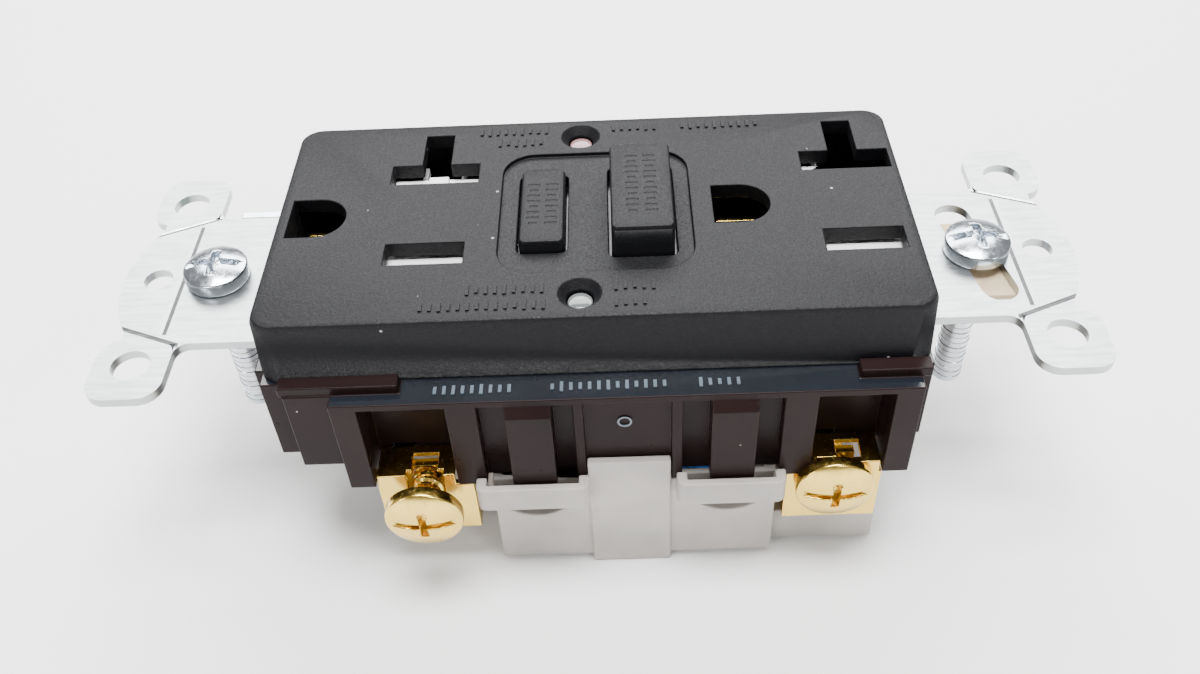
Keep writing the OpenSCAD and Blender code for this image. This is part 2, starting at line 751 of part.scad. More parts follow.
module clamp(i) {
    x = terminal_x[i];
    difference() {
        union() {
            block([x - clamp_half, x + clamp_half], [clamp_y, clamp_y + clamp_t], [terminal_z - 5.4, terminal_z + 1.9]);
            for (sx = [-1, 1])
                block([x + sx * 2 - 0.4, x + sx * 2 + 0.4], [clamp_y + clamp_t - eps, clamp_y + clamp_t + 0.5],
                    [terminal_z - 5.4, terminal_z - 2.6]);
        }
        rod_y(x, terminal_z, screw_r + thread_gap, [0, far]);
    }
}
module hot_line_clamp() {
    color("#c9a24a") mirror([0, 1, 0]) clamp(0);
}
module hot_load_clamp() {
    color("#c9a24a") mirror([0, 1, 0]) clamp(1);
}
module neutral_line_clamp() {
    color("#b9bbbd") clamp(0);
}
module neutral_load_clamp() {
    color("#b9bbbd") clamp(1);
}

// A domed screw head with a slot and a cross recess; it stands on z = 0.
module domed_head(r, h) {
    difference() {
        rotate_extrude() intersection() {
            translate([0, h - r * 2.2]) circle(r * 2.2, $fn = 96);
            translate([0, 0]) square([r, h]);
        }
        translate([0, 0, h]) cube([2 * r + 1, 0.9, 1.6], center = true);
        translate([0, 0, h]) cube([0.9, r * 1.1, 3], center = true);
        translate([0, 0, h]) cube([r * 1.1, 0.9, 3], center = true);
    }
}
module terminal_screw(i, out) {
    seat = plate_y + plate_t + 0.25 + out;
    tip = screw_tip_y + out;
    rod_y(terminal_x[i], terminal_z, screw_r, [tip, seat + eps]);
    translate([terminal_x[i], seat, terminal_z]) rotate([-90, 0, 0]) domed_head(terminal_head_r, 2.3);
}
module hot_line_screw() {
    color("#e0bf58") mirror([0, 1, 0]) terminal_screw(0, backed_out);
}
module hot_load_screw() {
    color("#e0bf58") mirror([0, 1, 0]) terminal_screw(1, 0);
}
module neutral_line_screw() {
    color("#cfd1d3") terminal_screw(0, backed_out);
}
module neutral_load_screw() {
    color("#cfd1d3") terminal_screw(1, 0);
}
module ground_terminal() {
    half = strap_w / 2;
    color("#b9bcc0") difference() {
        union() {
            block([ground_x - 3.2, ground_x + 3.2], [half + 0.1, half + 1.2], [-10.4, 0]);
            block([ground_x - 3.2, ground_x + 3.2], [half - 4, half + 0.1 + eps], [-strap_t - 1.25, -strap_t - 0.05]);
        }
        rod_y(ground_x, ground_z, screw_r + thread_gap, [0, far]);
    }
}
module ground_screw() {
    seat = strap_w / 2 + 1.4;
    color("#2f8f4e") {
        rod_y(ground_x, ground_z, screw_r, [seat - 6, seat + eps]);
        translate([ground_x, seat, ground_z]) rotate([-90, 0, 0]) domed_head(3.3, 1.9);
    }
}
module mounting_screw(x) {
    color("#c3c8d2") translate([x, 0, 0]) {
        translate([0, 0, box_head_z]) domed_head(box_head_r, box_head_h);
        translate([0, 0, neck_z - eps]) cylinder(h = box_head_z - neck_z + 2 * eps, r = neck_r);
        translate([0, 0, -box_screw_l + 1]) cylinder(h = box_screw_l - 1 + neck_z, r = screw_r);
        translate([0, 0, -box_screw_l]) cylinder(h = 1 + eps, r1 = screw_r - 0.7, r2 = screw_r);
    }
}
module left_mounting_screw() {
    mounting_screw(-box_pitch / 2);
}
module right_mounting_screw() {
    mounting_screw(box_pitch / 2);
}
module screw_washer(x) {
    color("#cdbb98") translate([x, 0, washer_z]) linear_extrude(washer_t) difference() {
        round_rect(7.6, 12.2, 1.2);
        circle(neck_r + 0.1);
    }
}
module left_screw_washer() {
    screw_washer(-box_pitch / 2);
}
module right_screw_washer() {
    screw_washer(box_pitch / 2);
}
module cover_screws() {
    color("#9a9da1") for (sx = [-1, 1], sy = [-1, 1]) translate([sx * boss_x, sy * boss_y, 0]) {
        translate([0, 0, -7.6]) cylinder(h = skin_z - 1 + 7.6, r = cover_screw_r);
        translate([0, 0, -7.6]) difference() {
            cylinder(h = 1.4, r = 1.8);
            translate([0, 0, -0.1]) cube([0.5, 2.2, 1], center = true);
            translate([0, 0, -0.1]) cube([2.2, 0.5, 1], center = true);
        }
    }
}

// Circuit board and what it carries.
module circuit_board() {
    color("#3f7a4a") difference() {
        union() {
            bar([line_end_x + 2, load_end_x - 2], line_half_w - rear_wall - 0.4, [board_z, board_top]);
            bar([deep_x0 + 1.8, deep_x1 - 1.8], deep_half_w - rear_wall - 0.4, [board_z, board_top]);
        }
        for (x = [-3.6, 13.5], y = [-16.5, 16.5]) translate([x, y, board_z - 1]) cylinder(h = 4, r = 1);
    }
}
module transformer_housing() {
    color("#1f2a44") translate([transformer_x, 0, board_top + 0.05]) {
        difference() {
            cylinder(h = 7.4, r = transformer_r);
            translate([0, 0, 0.8]) cylinder(h = 8, r = transformer_r - 0.6);
            translate([0, 0, -1]) cylinder(h = 9, r = 1.7);
        }
        difference() {
            cylinder(h = 7.4, r = 2.3);
            translate([0, 0, -1]) cylinder(h = 9, r = 1.7);
        }
    }
}
module toroid(z) {
    translate([transformer_x, 0, z]) rotate_extrude() translate([2.45, 0]) square([transformer_r - 3.2, coil_h]);
}
module sense_coil() {
    color("#b5651d") toroid(board_top + 4.3);
}
module neutral_coil() {
    color("#a85a1a") toroid(board_top + 0.95);
}
module line_conductors() {
    color("#c77b43") for (y = [-0.8, 0.8])
        translate([transformer_x, y, board_top + 0.02]) cylinder(h = 8.4, r = 0.5);
}
module solenoid_bobbin() {
    color("#d8d4c6") difference() {
        union() {
            rod_x([solenoid_x0, solenoid_x1], 0, solenoid_z, plunger_r + 0.7);
            for (x = [solenoid_x0, solenoid_x1 - 1]) rod_x([x, x + 1], 0, solenoid_z, 4.1);
        }
        rod_x([solenoid_x0 - 1, solenoid_x1 + 1], 0, solenoid_z, plunger_r + 0.08);
    }
}
module solenoid_winding() {
    color("#b5571f") difference() {
        rod_x([solenoid_x0 + 1.05, solenoid_x1 - 1.05], 0, solenoid_z, 3.9);
        rod_x([solenoid_x0, solenoid_x1], 0, solenoid_z, plunger_r + 0.75);
    }
}
module solenoid_yoke() {
    wrap = [solenoid_x0 - 0.9, solenoid_x1 + 0.9];
    color("#8f9296") difference() {
        union() {
            bar([wrap[0], wrap[0] + 0.8], 4.4, [board_top + 0.1, solenoid_z + 4.3]);
            bar([wrap[1] - 0.8, wrap[1]], 4.4, [board_top + 0.1, solenoid_z + 4.3]);
            block(wrap, [4.3, 5], [board_top + 0.1, solenoid_z + 4.3]);
        }
        rod_x([wrap[0] - 1, wrap[1] - 1], 0, solenoid_z, plunger_r + 0.35);
    }
}
module plunger() {
    color("#aeb1b5") rod_x([11.3, solenoid_x1 - 2], 0, solenoid_z, plunger_r);
}
module latch_plate() {
    reach = pin_head_r + 0.25;
    color("#c9cacc") {
        difference() {
            bar([reset_x - 2.7, 11], 2.2, [latch_z, latch_z + latch_t]);
            translate([reset_x, 0, latch_z - 1]) cylinder(h = 3, r = reach);
            translate([reset_x + plunger_travel, 0, latch_z - 1]) cylinder(h = 3, r = reach);
            bar([reset_x, reset_x + plunger_travel], reach, [latch_z - 1, latch_z + 2]);
        }
        bar([10.4, 11], 2.2, [latch_z - 1.4, latch_z + 2.4]);
    }
}
module contact_carriage() {
    low = board_top + 2.2;
    color("#e8e4d8") difference() {
        union() {
            bar([reset_x - 3.4, reset_x + 3.4], 3.2, [low, lug_top + 0.5]);
            both_sides() block([reset_x + 1.9, reset_x + 3.4], [3.1, 8.4], [lug_top - 1.6, lug_top]);
            both_sides() for (x = [reset_x - 3.4, reset_x + 2.2])
                block([x, x + 1.2], [2, 3.2], [board_top + 0.1, low + eps]);
        }
        bar([0, 20], 2.35, [latch_z - 0.15, latch_z + latch_t + 0.15]);
        translate([reset_x, 0, low - 1]) cylinder(h = 12, r = pin_head_r + 0.3);
    }
}
module contact_arm() {
    block([arm_x0, contact_x + 1.8], [arm_y - 1, arm_y + 1], [arm_z, arm_z + arm_t]);
    translate([contact_x, arm_y, arm_z + arm_t - eps]) cylinder(h = 0.35, r = contact_r);
    rod_y(arm_x0, arm_z + arm_t / 2, 0.5, [arm_y - 1, arm_y + 1]);
}
module hot_contact_arm() {
    color("#c98a4a") mirror([0, 1, 0]) contact_arm();
}
module neutral_contact_arm() {
    color("#c98a4a") contact_arm();
}
module varistor() {
    color("#2d5f9e") rod_y(contact_x + 0.5, board_top + 4.1, 3.9, [-16.2, -12.6]);
}
module filter_capacitor() {
    color("#c9a23a") block([5.5, 13.5], [10.6, 15.2], [board_top + 0.05, board_top + 8]);
}
module control_chip() {
    color("#222222") translate([-2.6, 0, board_top]) {
        bar([-2.5, 0.9], 3, [0.15, 1.6]);
        for (y = [-2.4:1.2:2.4]) block([-3.2, 1.6], [y - 0.2, y + 0.2], [0.02, 0.4]);
    }
}
module rectifier_diodes() {
    color("#2b2b2b") for (i = [0:3])
        rod_x([-9, -5.4], 9.8 + 2 * i, board_top + 0.9, 0.8);
}

face_cover();
mounting_strap();
middle_housing();
rear_cover();
reset_button();
reset_pin();
reset_spring();
test_button();
test_spring();
test_contact();
power_light_pipe();
trip_light_pipe();
power_led();
trip_led();
left_shutter_tray();
right_shutter_tray();
left_shutter();
right_shutter();
left_shutter_spring();
right_shutter_spring();
hot_bus();
neutral_bus();
left_ground_contact();
right_ground_contact();
hot_line_terminal();
hot_load_terminal();
neutral_line_terminal();
neutral_load_terminal();
hot_line_clamp();
hot_load_clamp();
neutral_line_clamp();
neutral_load_clamp();
hot_line_screw();
hot_load_screw();
neutral_line_screw();
neutral_load_screw();
ground_terminal();
ground_screw();
left_mounting_screw();
right_mounting_screw();
left_screw_washer();
right_screw_washer();
cover_screws();
circuit_board();
transformer_housing();
sense_coil();
neutral_coil();
line_conductors();
solenoid_bobbin();
solenoid_winding();
solenoid_yoke();
plunger();
latch_plate();
contact_carriage();
hot_contact_arm();
neutral_contact_arm();
varistor();
filter_capacitor();
control_chip();
rectifier_diodes();
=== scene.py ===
"""Looks of a ground-fault receptacle: finishes, rounded edges, threads, springs and windings."""

import json
import math

import bmesh
import bpy
from bpy.props import FloatProperty, FloatVectorProperty, IntProperty, PointerProperty
from mathutils import Matrix, Vector


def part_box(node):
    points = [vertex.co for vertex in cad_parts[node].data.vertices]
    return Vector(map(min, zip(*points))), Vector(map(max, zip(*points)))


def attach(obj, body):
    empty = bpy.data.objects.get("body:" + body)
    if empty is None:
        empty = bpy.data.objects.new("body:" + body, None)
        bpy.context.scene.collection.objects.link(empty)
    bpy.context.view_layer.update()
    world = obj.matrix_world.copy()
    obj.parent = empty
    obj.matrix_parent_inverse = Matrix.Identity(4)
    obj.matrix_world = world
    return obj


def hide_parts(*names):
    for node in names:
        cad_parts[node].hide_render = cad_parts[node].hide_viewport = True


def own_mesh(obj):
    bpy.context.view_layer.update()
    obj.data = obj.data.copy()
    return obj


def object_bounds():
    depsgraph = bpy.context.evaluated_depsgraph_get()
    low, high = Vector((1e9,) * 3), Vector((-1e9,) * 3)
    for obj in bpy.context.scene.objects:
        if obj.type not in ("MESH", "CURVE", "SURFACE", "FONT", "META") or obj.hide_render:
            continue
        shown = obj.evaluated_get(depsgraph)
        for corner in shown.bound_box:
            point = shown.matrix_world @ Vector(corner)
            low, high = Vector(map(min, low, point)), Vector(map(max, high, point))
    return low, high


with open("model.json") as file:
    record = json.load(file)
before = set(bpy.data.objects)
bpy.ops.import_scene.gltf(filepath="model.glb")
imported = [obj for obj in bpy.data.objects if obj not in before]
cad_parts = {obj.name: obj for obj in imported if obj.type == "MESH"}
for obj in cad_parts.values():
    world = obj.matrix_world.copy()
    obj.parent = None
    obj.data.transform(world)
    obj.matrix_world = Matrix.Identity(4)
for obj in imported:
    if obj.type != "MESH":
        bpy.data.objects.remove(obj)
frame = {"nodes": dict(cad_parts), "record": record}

bl_info = {
    "name": "Ground-fault receptacle looks",
    "version": (1, 0, 0),
    "blender": (4, 5, 0),
    "location": "3D View > Sidebar > Receptacle",
    "description": "Finishes and fine pieces of a twin receptacle with test and reset buttons",
    "category": "Object",
}

MM = 0.001
CAD_BOX = [list(corner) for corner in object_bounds()]
BODY_OF = {node: body for body, nodes in frame["record"]["behaviour"]["bodies"].items() for node in nodes}
SLOT_OF = {part["node"]: part["material_slot"] for part in frame["record"]["subparts"]}
# A screw thread's outer radius, and how much thinner a mounting screw's neck is, in mm.
THREAD_RADIUS = 1.75
NECK_RELIEF = 0.3


# ---------------------------------------------------------------- settings

def length(name, description, value):
    """A size in millimetres that a user may change."""
    return FloatProperty(name=name, description=description, default=value, min=0.0, precision=3)


def colour(name, description, value):
    """A linear colour that a user may change."""
    return FloatVectorProperty(
        name=name, description=description, default=value, subtype="COLOR", size=3, min=0.0, max=1.0
    )


class ReceptacleSizes(bpy.types.PropertyGroup):
    """Sizes of the fine detail, in millimetres."""

    plastic_edge: length("Plastic edge", "Radius of the moulded plastic's edges, mm", 0.14)
    metal_edge: length("Metal edge", "Radius of the stamped metal's edges, mm", 0.12)
    thread_pitch: length("Thread pitch", "Distance between two turns of a screw's thread, mm", 0.8)
    thread_depth: length("Thread depth", "Depth of a screw's thread, mm", 0.26)
    fine_thread_depth: length("Fine thread depth", "Depth of a mounting screw's thread, mm", 0.08)
    head_height: length("Terminal head", "Height of a terminal screw's head, mm", 2.3)
    box_head_height: length("Mounting head", "Height of a mounting screw's head, mm", 2.4)
    ground_head_height: length("Ground head", "Height of the ground screw's head, mm", 1.9)
    tick_pitch: length("Mark pitch", "Distance between two raised marks, mm", 0.92)
    tick_rise: length("Mark rise", "How far a raised mark stands out, mm", 0.15)
    magnet_wire: length("Magnet wire", "Radius of the coils' wire, mm", 0.16)
    toroid_turns: IntProperty(
        name="Toroid turns", description="Turns on each sensing coil", default=46, min=8
    )


class ReceptacleColours(bpy.types.PropertyGroup):
    """Colours of the main finishes, in linear light."""

    face: colour("Face", "Matt textured front plastic", (0.003, 0.003, 0.0042))
    housing: colour("Housing", "Satin black moulded plastic", (0.013, 0.0065, 0.0067))
    button: colour("Buttons", "Black button plastic", (0.007, 0.0072, 0.0085))
    cover: colour("Rear cover", "Warm grey plastic", (0.40, 0.37, 0.345))
    steel: colour("Zinc steel", "Bright zinc-plated strap", (0.41, 0.43, 0.435))
    brass: colour("Brass", "Bright terminal brass", (0.80, 0.56, 0.13))
    copper: colour("Copper alloy", "Stamped contacts", (0.70, 0.40, 0.20))
    floor: colour("Floor", "Pale studio floor", (0.96, 0.96, 0.96))


class ReceptacleView(bpy.types.PropertyGroup):
    """Where the camera stands, and its lens."""

    azimuth: FloatProperty(name="Azimuth", description="Turn about Z, degrees", default=1.80)
    elevation: FloatProperty(
        name="Elevation", description="Height above the strap's plane, degrees", default=44.71
    )
    roll: FloatProperty(name="Roll", description="Turn about the line of sight, degrees", default=-3.23)
    distance: length("Distance", "From the aim point to the camera, mm", 118.46)
    aim_x: FloatProperty(name="Aim X", description="Aim point along the strap, mm", default=0.54)
    aim_y: FloatProperty(name="Aim Y", description="Aim point across the strap, mm", default=-11.43)
    lens: FloatProperty(name="Lens", description="Focal length on a 36 mm sensor, mm", default=34.5)


def sizes():
    return bpy.context.scene.receptacle_sizes


def colours():
    return bpy.context.scene.receptacle_colours


# ---------------------------------------------------------------- finishes

def shader_tree(name):
    """A new material, with its tree, its main shader and the piece's own coordinates."""
    material = bpy.data.materials.new(name)
    material.use_nodes = True
    tree = material.node_tree
    shader = tree.nodes["Principled BSDF"]
    coords = tree.nodes.new("ShaderNodeTexCoord")
    return material, tree, shader, coords.outputs["Object"]


def noise(tree, vector, size_mm, detail=2.0, stretch=(1, 1, 1)):
    """Noise whose blotches are about size_mm across."""
    mapping = tree.nodes.new("ShaderNodeMapping")
    mapping.inputs["Scale"].default_value = [s / (size_mm * MM) for s in stretch]
    texture = tree.nodes.new("ShaderNodeTexNoise")
    texture.inputs["Scale"].default_value = 1.0
    texture.inputs["Detail"].default_value = detail
    tree.links.new(vector, mapping.inputs["Vector"])
    tree.links.new(mapping.outputs["Vector"], texture.inputs["Vector"])
    return texture.outputs["Fac"]


def spread(tree, value, low, high, from_low=0.3, from_high=0.7):
    """A value between low and high, following another."""
    node = tree.nodes.new("ShaderNodeMapRange")
    node.inputs["From Min"].default_value = from_low
    node.inputs["From Max"].default_value = from_high
    node.inputs["To Min"].default_value = low
    node.inputs["To Max"].default_value = high
    tree.links.new(value, node.inputs["Value"])
    return node.outputs["Result"]


def tint(tree, factor, first, second):
    """A colour that goes from first to second with factor."""
    node = tree.nodes.new("ShaderNodeMix")
    node.data_type = "RGBA"
    for socket, value in zip((node.inputs[6], node.inputs[7]), (first, second)):
        if isinstance(value, bpy.types.NodeSocket):
            tree.links.new(value, socket)
        else:
            socket.default_value = (*value, 1.0)
    tree.links.new(factor, node.inputs[0])
    return node.outputs[2]


def arithmetic(tree, operation, first, second):
    """One sum on two values or sockets."""
    node = tree.nodes.new("ShaderNodeMath")
    node.operation = operation
    for socket, value in zip(node.inputs, (first, second)):
        if isinstance(value, bpy.types.NodeSocket):
            tree.links.new(value, socket)
        else:
            socket.default_value = value
    return node.outputs[0]


def dust(tree, vector, spacing_mm, amount):
    """1 inside small scattered specks, and 0 elsewhere."""
    mapping = tree.nodes.new("ShaderNodeMapping")
    mapping.inputs["Scale"].default_value = [1 / (spacing_mm * MM)] * 3
    cells = tree.nodes.new("ShaderNodeTexVoronoi")
    cells.inputs["Scale"].default_value = 1.0
    tree.links.new(vector, mapping.inputs["Vector"])
    tree.links.new(mapping.outputs["Vector"], cells.inputs["Vector"])
    chosen = arithmetic(tree, "LESS_THAN", spread_colour(tree, cells.outputs["Color"]), amount)
    near = arithmetic(tree, "LESS_THAN", cells.outputs["Distance"], 0.09)
    return arithmetic(tree, "MULTIPLY", chosen, near)


def spread_colour(tree, value):
    """One channel of a colour."""
    node = tree.nodes.new("ShaderNodeSeparateColor")
    tree.links.new(value, node.inputs["Color"])
    return node.outputs[0]


def bump(tree, shader, height, depth_mm, strength=1.0, below=None):
    """Relief of about depth_mm, laid over the relief below it."""
    node = tree.nodes.new("ShaderNodeBump")
    node.inputs["Strength"].default_value = strength
    node.inputs["Distance"].default_value = depth_mm * MM
    tree.links.new(height, node.inputs["Height"])
    if below is not None:
        tree.links.new(below, node.inputs["Normal"])
    tree.links.new(node.outputs["Normal"], shader.inputs["Normal"])
    return node.outputs["Normal"]


def moulded_plastic(name, base, rough, grain_mm, grain_depth, specks=0.0, gloss=0.5):
    """Moulded plastic: a fine grain, faint flow marks and, if asked, settled dust."""
    material, tree, shader, place = shader_tree(name)
    dark = [c * 0.82 for c in base]
    light = [min(1.0, c * 1.16) for c in base]
    flow = noise(tree, place, 9.0, 3.0)
    surface = tint(tree, spread(tree, flow, 0.0, 1.0), dark, light)
    if specks:
        surface = tint(tree, dust(tree, place, 1.3, specks), surface, (0.45, 0.42, 0.38))
    tree.links.new(surface, shader.inputs["Base Color"])
    smear = noise(tree, place, 3.5, 4.0)
    tree.links.new(spread(tree, smear, rough - 0.05, rough + 0.07), shader.inputs["Roughness"])
    shader.inputs["Specular IOR Level"].default_value = gloss
    bump(tree, shader, noise(tree, place, grain_mm, 2.0), grain_depth)
    return material


def spark_plastic(name, base, rough):
    """Spark-eroded matt plastic: sharp grains on its flats, which glint on the edges."""
    material, tree, shader, place = shader_tree(name)
    flow = noise(tree, place, 12.0, 3.0)
    surface = tint(tree, spread(tree, flow, 0.0, 1.0), [c * 0.9 for c in base], [c * 1.1 for c in base])
    surface = tint(tree, dust(tree, place, 1.7, 0.10), surface, (0.30, 0.29, 0.28))
    tree.links.new(surface, shader.inputs["Base Color"])
    grain = noise(tree, place, 0.17, 3.0)
    tree.links.new(spread(tree, grain, rough - 0.13, rough + 0.12), shader.inputs["Roughness"])
    shader.inputs["Specular IOR Level"].default_value = 0.2
    coarse = bump(tree, shader, noise(tree, place, 0.42, 2.0), 0.045)
    bump(tree, shader, grain, 0.035, below=coarse)
    return material


def plated_metal(name, base, rough, grain=(1, 1, 1), mottle=0.08, depth=0.002):
    """Stamped or turned metal: soft mottling, fine drag lines and a rough-smooth variation."""
    material, tree, shader, place = shader_tree(name)
    shader.inputs["Metallic"].default_value = 1.0
    cloud = noise(tree, place, 2.6, 4.0)
    pale = [min(1.0, c * (1 + mottle)) for c in base]
    deep = [c * (1 - mottle) for c in base]
    tree.links.new(tint(tree, spread(tree, cloud, 0.0, 1.0), deep, pale), shader.inputs["Base Color"])
    lines = noise(tree, place, 0.5, 3.0, grain)
    tree.links.new(spread(tree, lines, rough - 0.06, rough + 0.09), shader.inputs["Roughness"])
    bump(tree, shader, lines, depth)
    return material


def strap_steel(name, base):
    """Zinc-plated strap: rolling lines, and the pressed creases across its two ends."""
    material = plated_metal(name, base, 0.34, (0.12, 1, 1), 0.05, 0.003)
    tree = material.node_tree
    shader = tree.nodes["Principled BSDF"]
    below = shader.inputs["Normal"].links[0].from_socket
    coords = next(n for n in tree.nodes if n.type == "TEX_COORD").outputs["Object"]
    split = tree.nodes.new("ShaderNodeSeparateXYZ")
    tree.links.new(coords, split.inputs[0])
    along = arithmetic(tree, "ABSOLUTE", split.outputs["X"], 0.0)
    across = arithmetic(tree, "ABSOLUTE", split.outputs["Y"], 0.0)
    bend = arithmetic(tree, "ABSOLUTE", arithmetic(tree, "SUBTRACT", along, 45.7 * MM), 0.0)
    bend = spread(tree, bend, 0.0, 1.0, 0.0, 0.45 * MM)
    inside = arithmetic(tree, "LESS_THAN", across, 8.9 * MM)
    groove = arithmetic(tree, "MULTIPLY", arithmetic(tree, "SUBTRACT", 1.0, bend), inside)
    slope = arithmetic(tree, "MULTIPLY", arithmetic(tree, "SUBTRACT", along, 47 * MM), 0.42)
    line = arithmetic(tree, "ADD", arithmetic(tree, "SUBTRACT", across, 9.1 * MM), slope)
    score = spread(tree, arithmetic(tree, "ABSOLUTE", line, 0.0), 1.0, 0.0, 0.0, 0.3 * MM)
    score = arithmetic(tree, "MULTIPLY", score, arithmetic(tree, "GREATER_THAN", along, 43.6 * MM))
    relief = arithmetic(tree, "SUBTRACT", 0.0, arithmetic(tree, "MAXIMUM", groove, score))
    bump(tree, shader, relief, 0.16, 0.9, below)
    return material


def clear_resin(name, base, rough=0.12):
    """Moulded clear resin, seen as a lens over a dark hollow, whose shade is painted into the resin's colour."""
    material, tree, shader, place = shader_tree(name)
    haze = noise(tree, place, 0.8, 2.0)
    tree.links.new(tint(tree, haze, [c * 0.8 for c in base], base), shader.inputs["Base Color"])
    shader.inputs["Roughness"].default_value = rough
    shader.inputs["Transmission Weight"].default_value = 0.1
    shader.inputs["IOR"].default_value = 1.49
    shader.inputs["Coat Weight"].default_value = 0.4
    return material


def pressed_fibre(name, base):
    """Vulcanised fibre: short matted threads."""
    material, tree, shader, place = shader_tree(name)
    threads = noise(tree, place, 0.35, 4.0, (1, 0.3, 1))
    tree.links.new(tint(tree, threads, [c * 0.7 for c in base], base), shader.inputs["Base Color"])
    shader.inputs["Roughness"].default_value = 0.8
    bump(tree, shader, threads, 0.03)
    return material


def enamelled_wire(name, base):
    """Copper under a coat of clear enamel."""
    material = plated_metal(name, base, 0.25, (1, 1, 1), 0.15, 0.002)
    shader = material.node_tree.nodes["Principled BSDF"]
    shader.inputs["Coat Weight"].default_value = 0.6
    shader.inputs["Coat Roughness"].default_value = 0.1
    return material


def make_finishes():
    """Every finish, by the material slot that it is for."""
    c = colours()
    return {
        "black_face": spark_plastic("matt_spark_plastic", c.face, 0.55),
        "black_body": moulded_plastic("satin_black_plastic", c.housing, 0.32, 0.3, 0.004, 0.02, 0.09),
        # Ledge: the housing's own black plastic, made glossier, with a faint blue tint that is painted sheen
        "ledge_gloss": moulded_plastic(
            "glossy_black_plastic_painted_sheen", (0.009, 0.011, 0.015), 0.16, 1.1, 0.03, 0.0, 0.5
        ),
        # Marks: black plastic, drawn light blue-grey as a painted highlight on their edges
        "mark_gloss_painted_highlight": moulded_plastic("mark_plastic_painted_highlight", (0.10, 0.125, 0.155), 0.2, 0.5, 0.01, 0.0, 0.7),
        "black_button": moulded_plastic("gloss_black_plastic", c.button, 0.22, 0.6, 0.006, 0.05),
        "grey_cover": moulded_plastic("warm_grey_plastic", c.cover, 0.42, 0.7, 0.006),
        "zinc_steel": strap_steel("zinc_plated_steel", c.steel),
        "zinc_plate": plated_metal("blue_zinc_plate", (0.62, 0.66, 0.71), 0.2, (1, 1, 0.3), 0.1),
        "spring_steel": plated_metal("drawn_steel", (0.62, 0.63, 0.65), 0.28),
        "brass": plated_metal("bright_brass", c.brass, 0.2, (1, 1, 0.2), 0.06),
        "copper_alloy": plated_metal("contact_copper", c.copper, 0.3, (0.2, 1, 1), 0.12),
        "nickel": plated_metal("nickel_plate", (0.76, 0.77, 0.78), 0.2, (1, 1, 0.2), 0.04),
        "green_zinc": plated_metal("green_zinc", (0.08, 0.36, 0.16), 0.25, (1, 1, 1), 0.12),
        "fibre": pressed_fibre("pressed_fibre", (0.66, 0.52, 0.34)),
        "white_plastic": moulded_plastic("white_shutter_plastic", (0.86, 0.86, 0.85), 0.35, 0.6, 0.004),
        "ivory_plastic": moulded_plastic("ivory_plastic", (0.66, 0.60, 0.46), 0.4, 0.6, 0.006),
        # Clear lens: its grey is painted shade of the dark hollow behind the clear resin
        "clear_lens": clear_resin("lens_painted_hollow_shade", (0.13, 0.14, 0.14)),
        "pink_lens": clear_resin("rose_lens", (0.27, 0.15, 0.15)),
        "led_body": clear_resin("lamp_resin", (0.3, 0.31, 0.28)),
        "board_green": moulded_plastic("solder_mask", (0.02, 0.16, 0.05), 0.25, 1.2, 0.02),
        "dark_blue_plastic": moulded_plastic("navy_plastic", (0.012, 0.02, 0.06), 0.45, 0.5, 0.008),
        "copper_wire": enamelled_wire("enamelled_wire", (0.55, 0.20, 0.06)),
        "blue_resin": moulded_plastic("dipped_resin", (0.03, 0.12, 0.38), 0.3, 1.5, 0.05),
        "yellow_film": moulded_plastic("boxed_film", (0.62, 0.38, 0.04), 0.35, 0.8, 0.01),
        "chip_black": moulded_plastic("moulded_epoxy", (0.012, 0.012, 0.012), 0.5, 0.2, 0.01),
    }


FINISH = {}


def finish(slot):
    """The finish of a material slot, made once."""
    if not FINISH:
        FINISH.update(make_finishes())
    return FINISH[slot]


# ---------------------------------------------------------------- mesh tools

def add_object(name, mesh):
    """A new object in the scene, at the origin."""
    piece = bpy.data.objects.new(name, mesh)
    bpy.context.scene.collection.objects.link(piece)
    return piece


def face_outwards(mesh):
    """Turns a closed mesh the right way out."""
    work = bmesh.new()
    work.from_mesh(mesh)
    if work.calc_volume(signed=True) < 0:
        bmesh.ops.reverse_faces(work, faces=work.faces)
    work.to_mesh(mesh)
    work.free()


def settle(piece):
    """Turns a piece's modifiers into plain mesh."""
    bpy.context.view_layer.update()
    evaluated = piece.evaluated_get(bpy.context.evaluated_depsgraph_get())
    mesh = bpy.data.meshes.new_from_object(evaluated)
    piece.modifiers.clear()
    piece.data = mesh
    return piece


def merged_copy(node, name):
    """A copy of a CAD piece with its loose triangles joined into flat faces."""
    work = bmesh.new()
    work.from_mesh(frame["nodes"][node].data)
    bmesh.ops.remove_doubles(work, verts=work.verts, dist=0.002 * MM)
    bmesh.ops.dissolve_limit(work, angle_limit=math.radians(0.6), verts=work.verts, edges=work.edges)
    for face in work.faces:
        face.smooth = True
    mesh = bpy.data.meshes.new(name)
    work.to_mesh(mesh)
    work.free()
    if "custom_normal" in mesh.attributes:
        mesh.attributes.remove(mesh.attributes["custom_normal"])
    return add_object(name, mesh)


def round_edges(piece, width_mm, segments=2):
    """Rounds every sharp edge of a piece."""
    bevel = piece.modifiers.new("edges", "BEVEL")
    bevel.width = width_mm * MM
    bevel.segments = segments
    bevel.limit_method = "ANGLE"
    bevel.angle_limit = math.radians(32)
    bevel.use_clamp_overlap = False
    bevel.harden_normals = True
    return settle(piece)


def stand_for(piece, node, *looks):
    """A piece that takes a CAD node's place and body, in the given finishes or the node's own."""
    piece.data.materials.clear()
    for look in looks or (SLOT_OF[node],):
        piece.data.materials.append(finish(look))
    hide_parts(node)
    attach(piece, BODY_OF[node])
    return piece


def rounded_node(node, width_mm, segments=2, *looks):
    """A CAD piece with rounded edges."""
    return stand_for(round_edges(merged_copy(node, node + "_finished"), width_mm, segments), node, *looks)


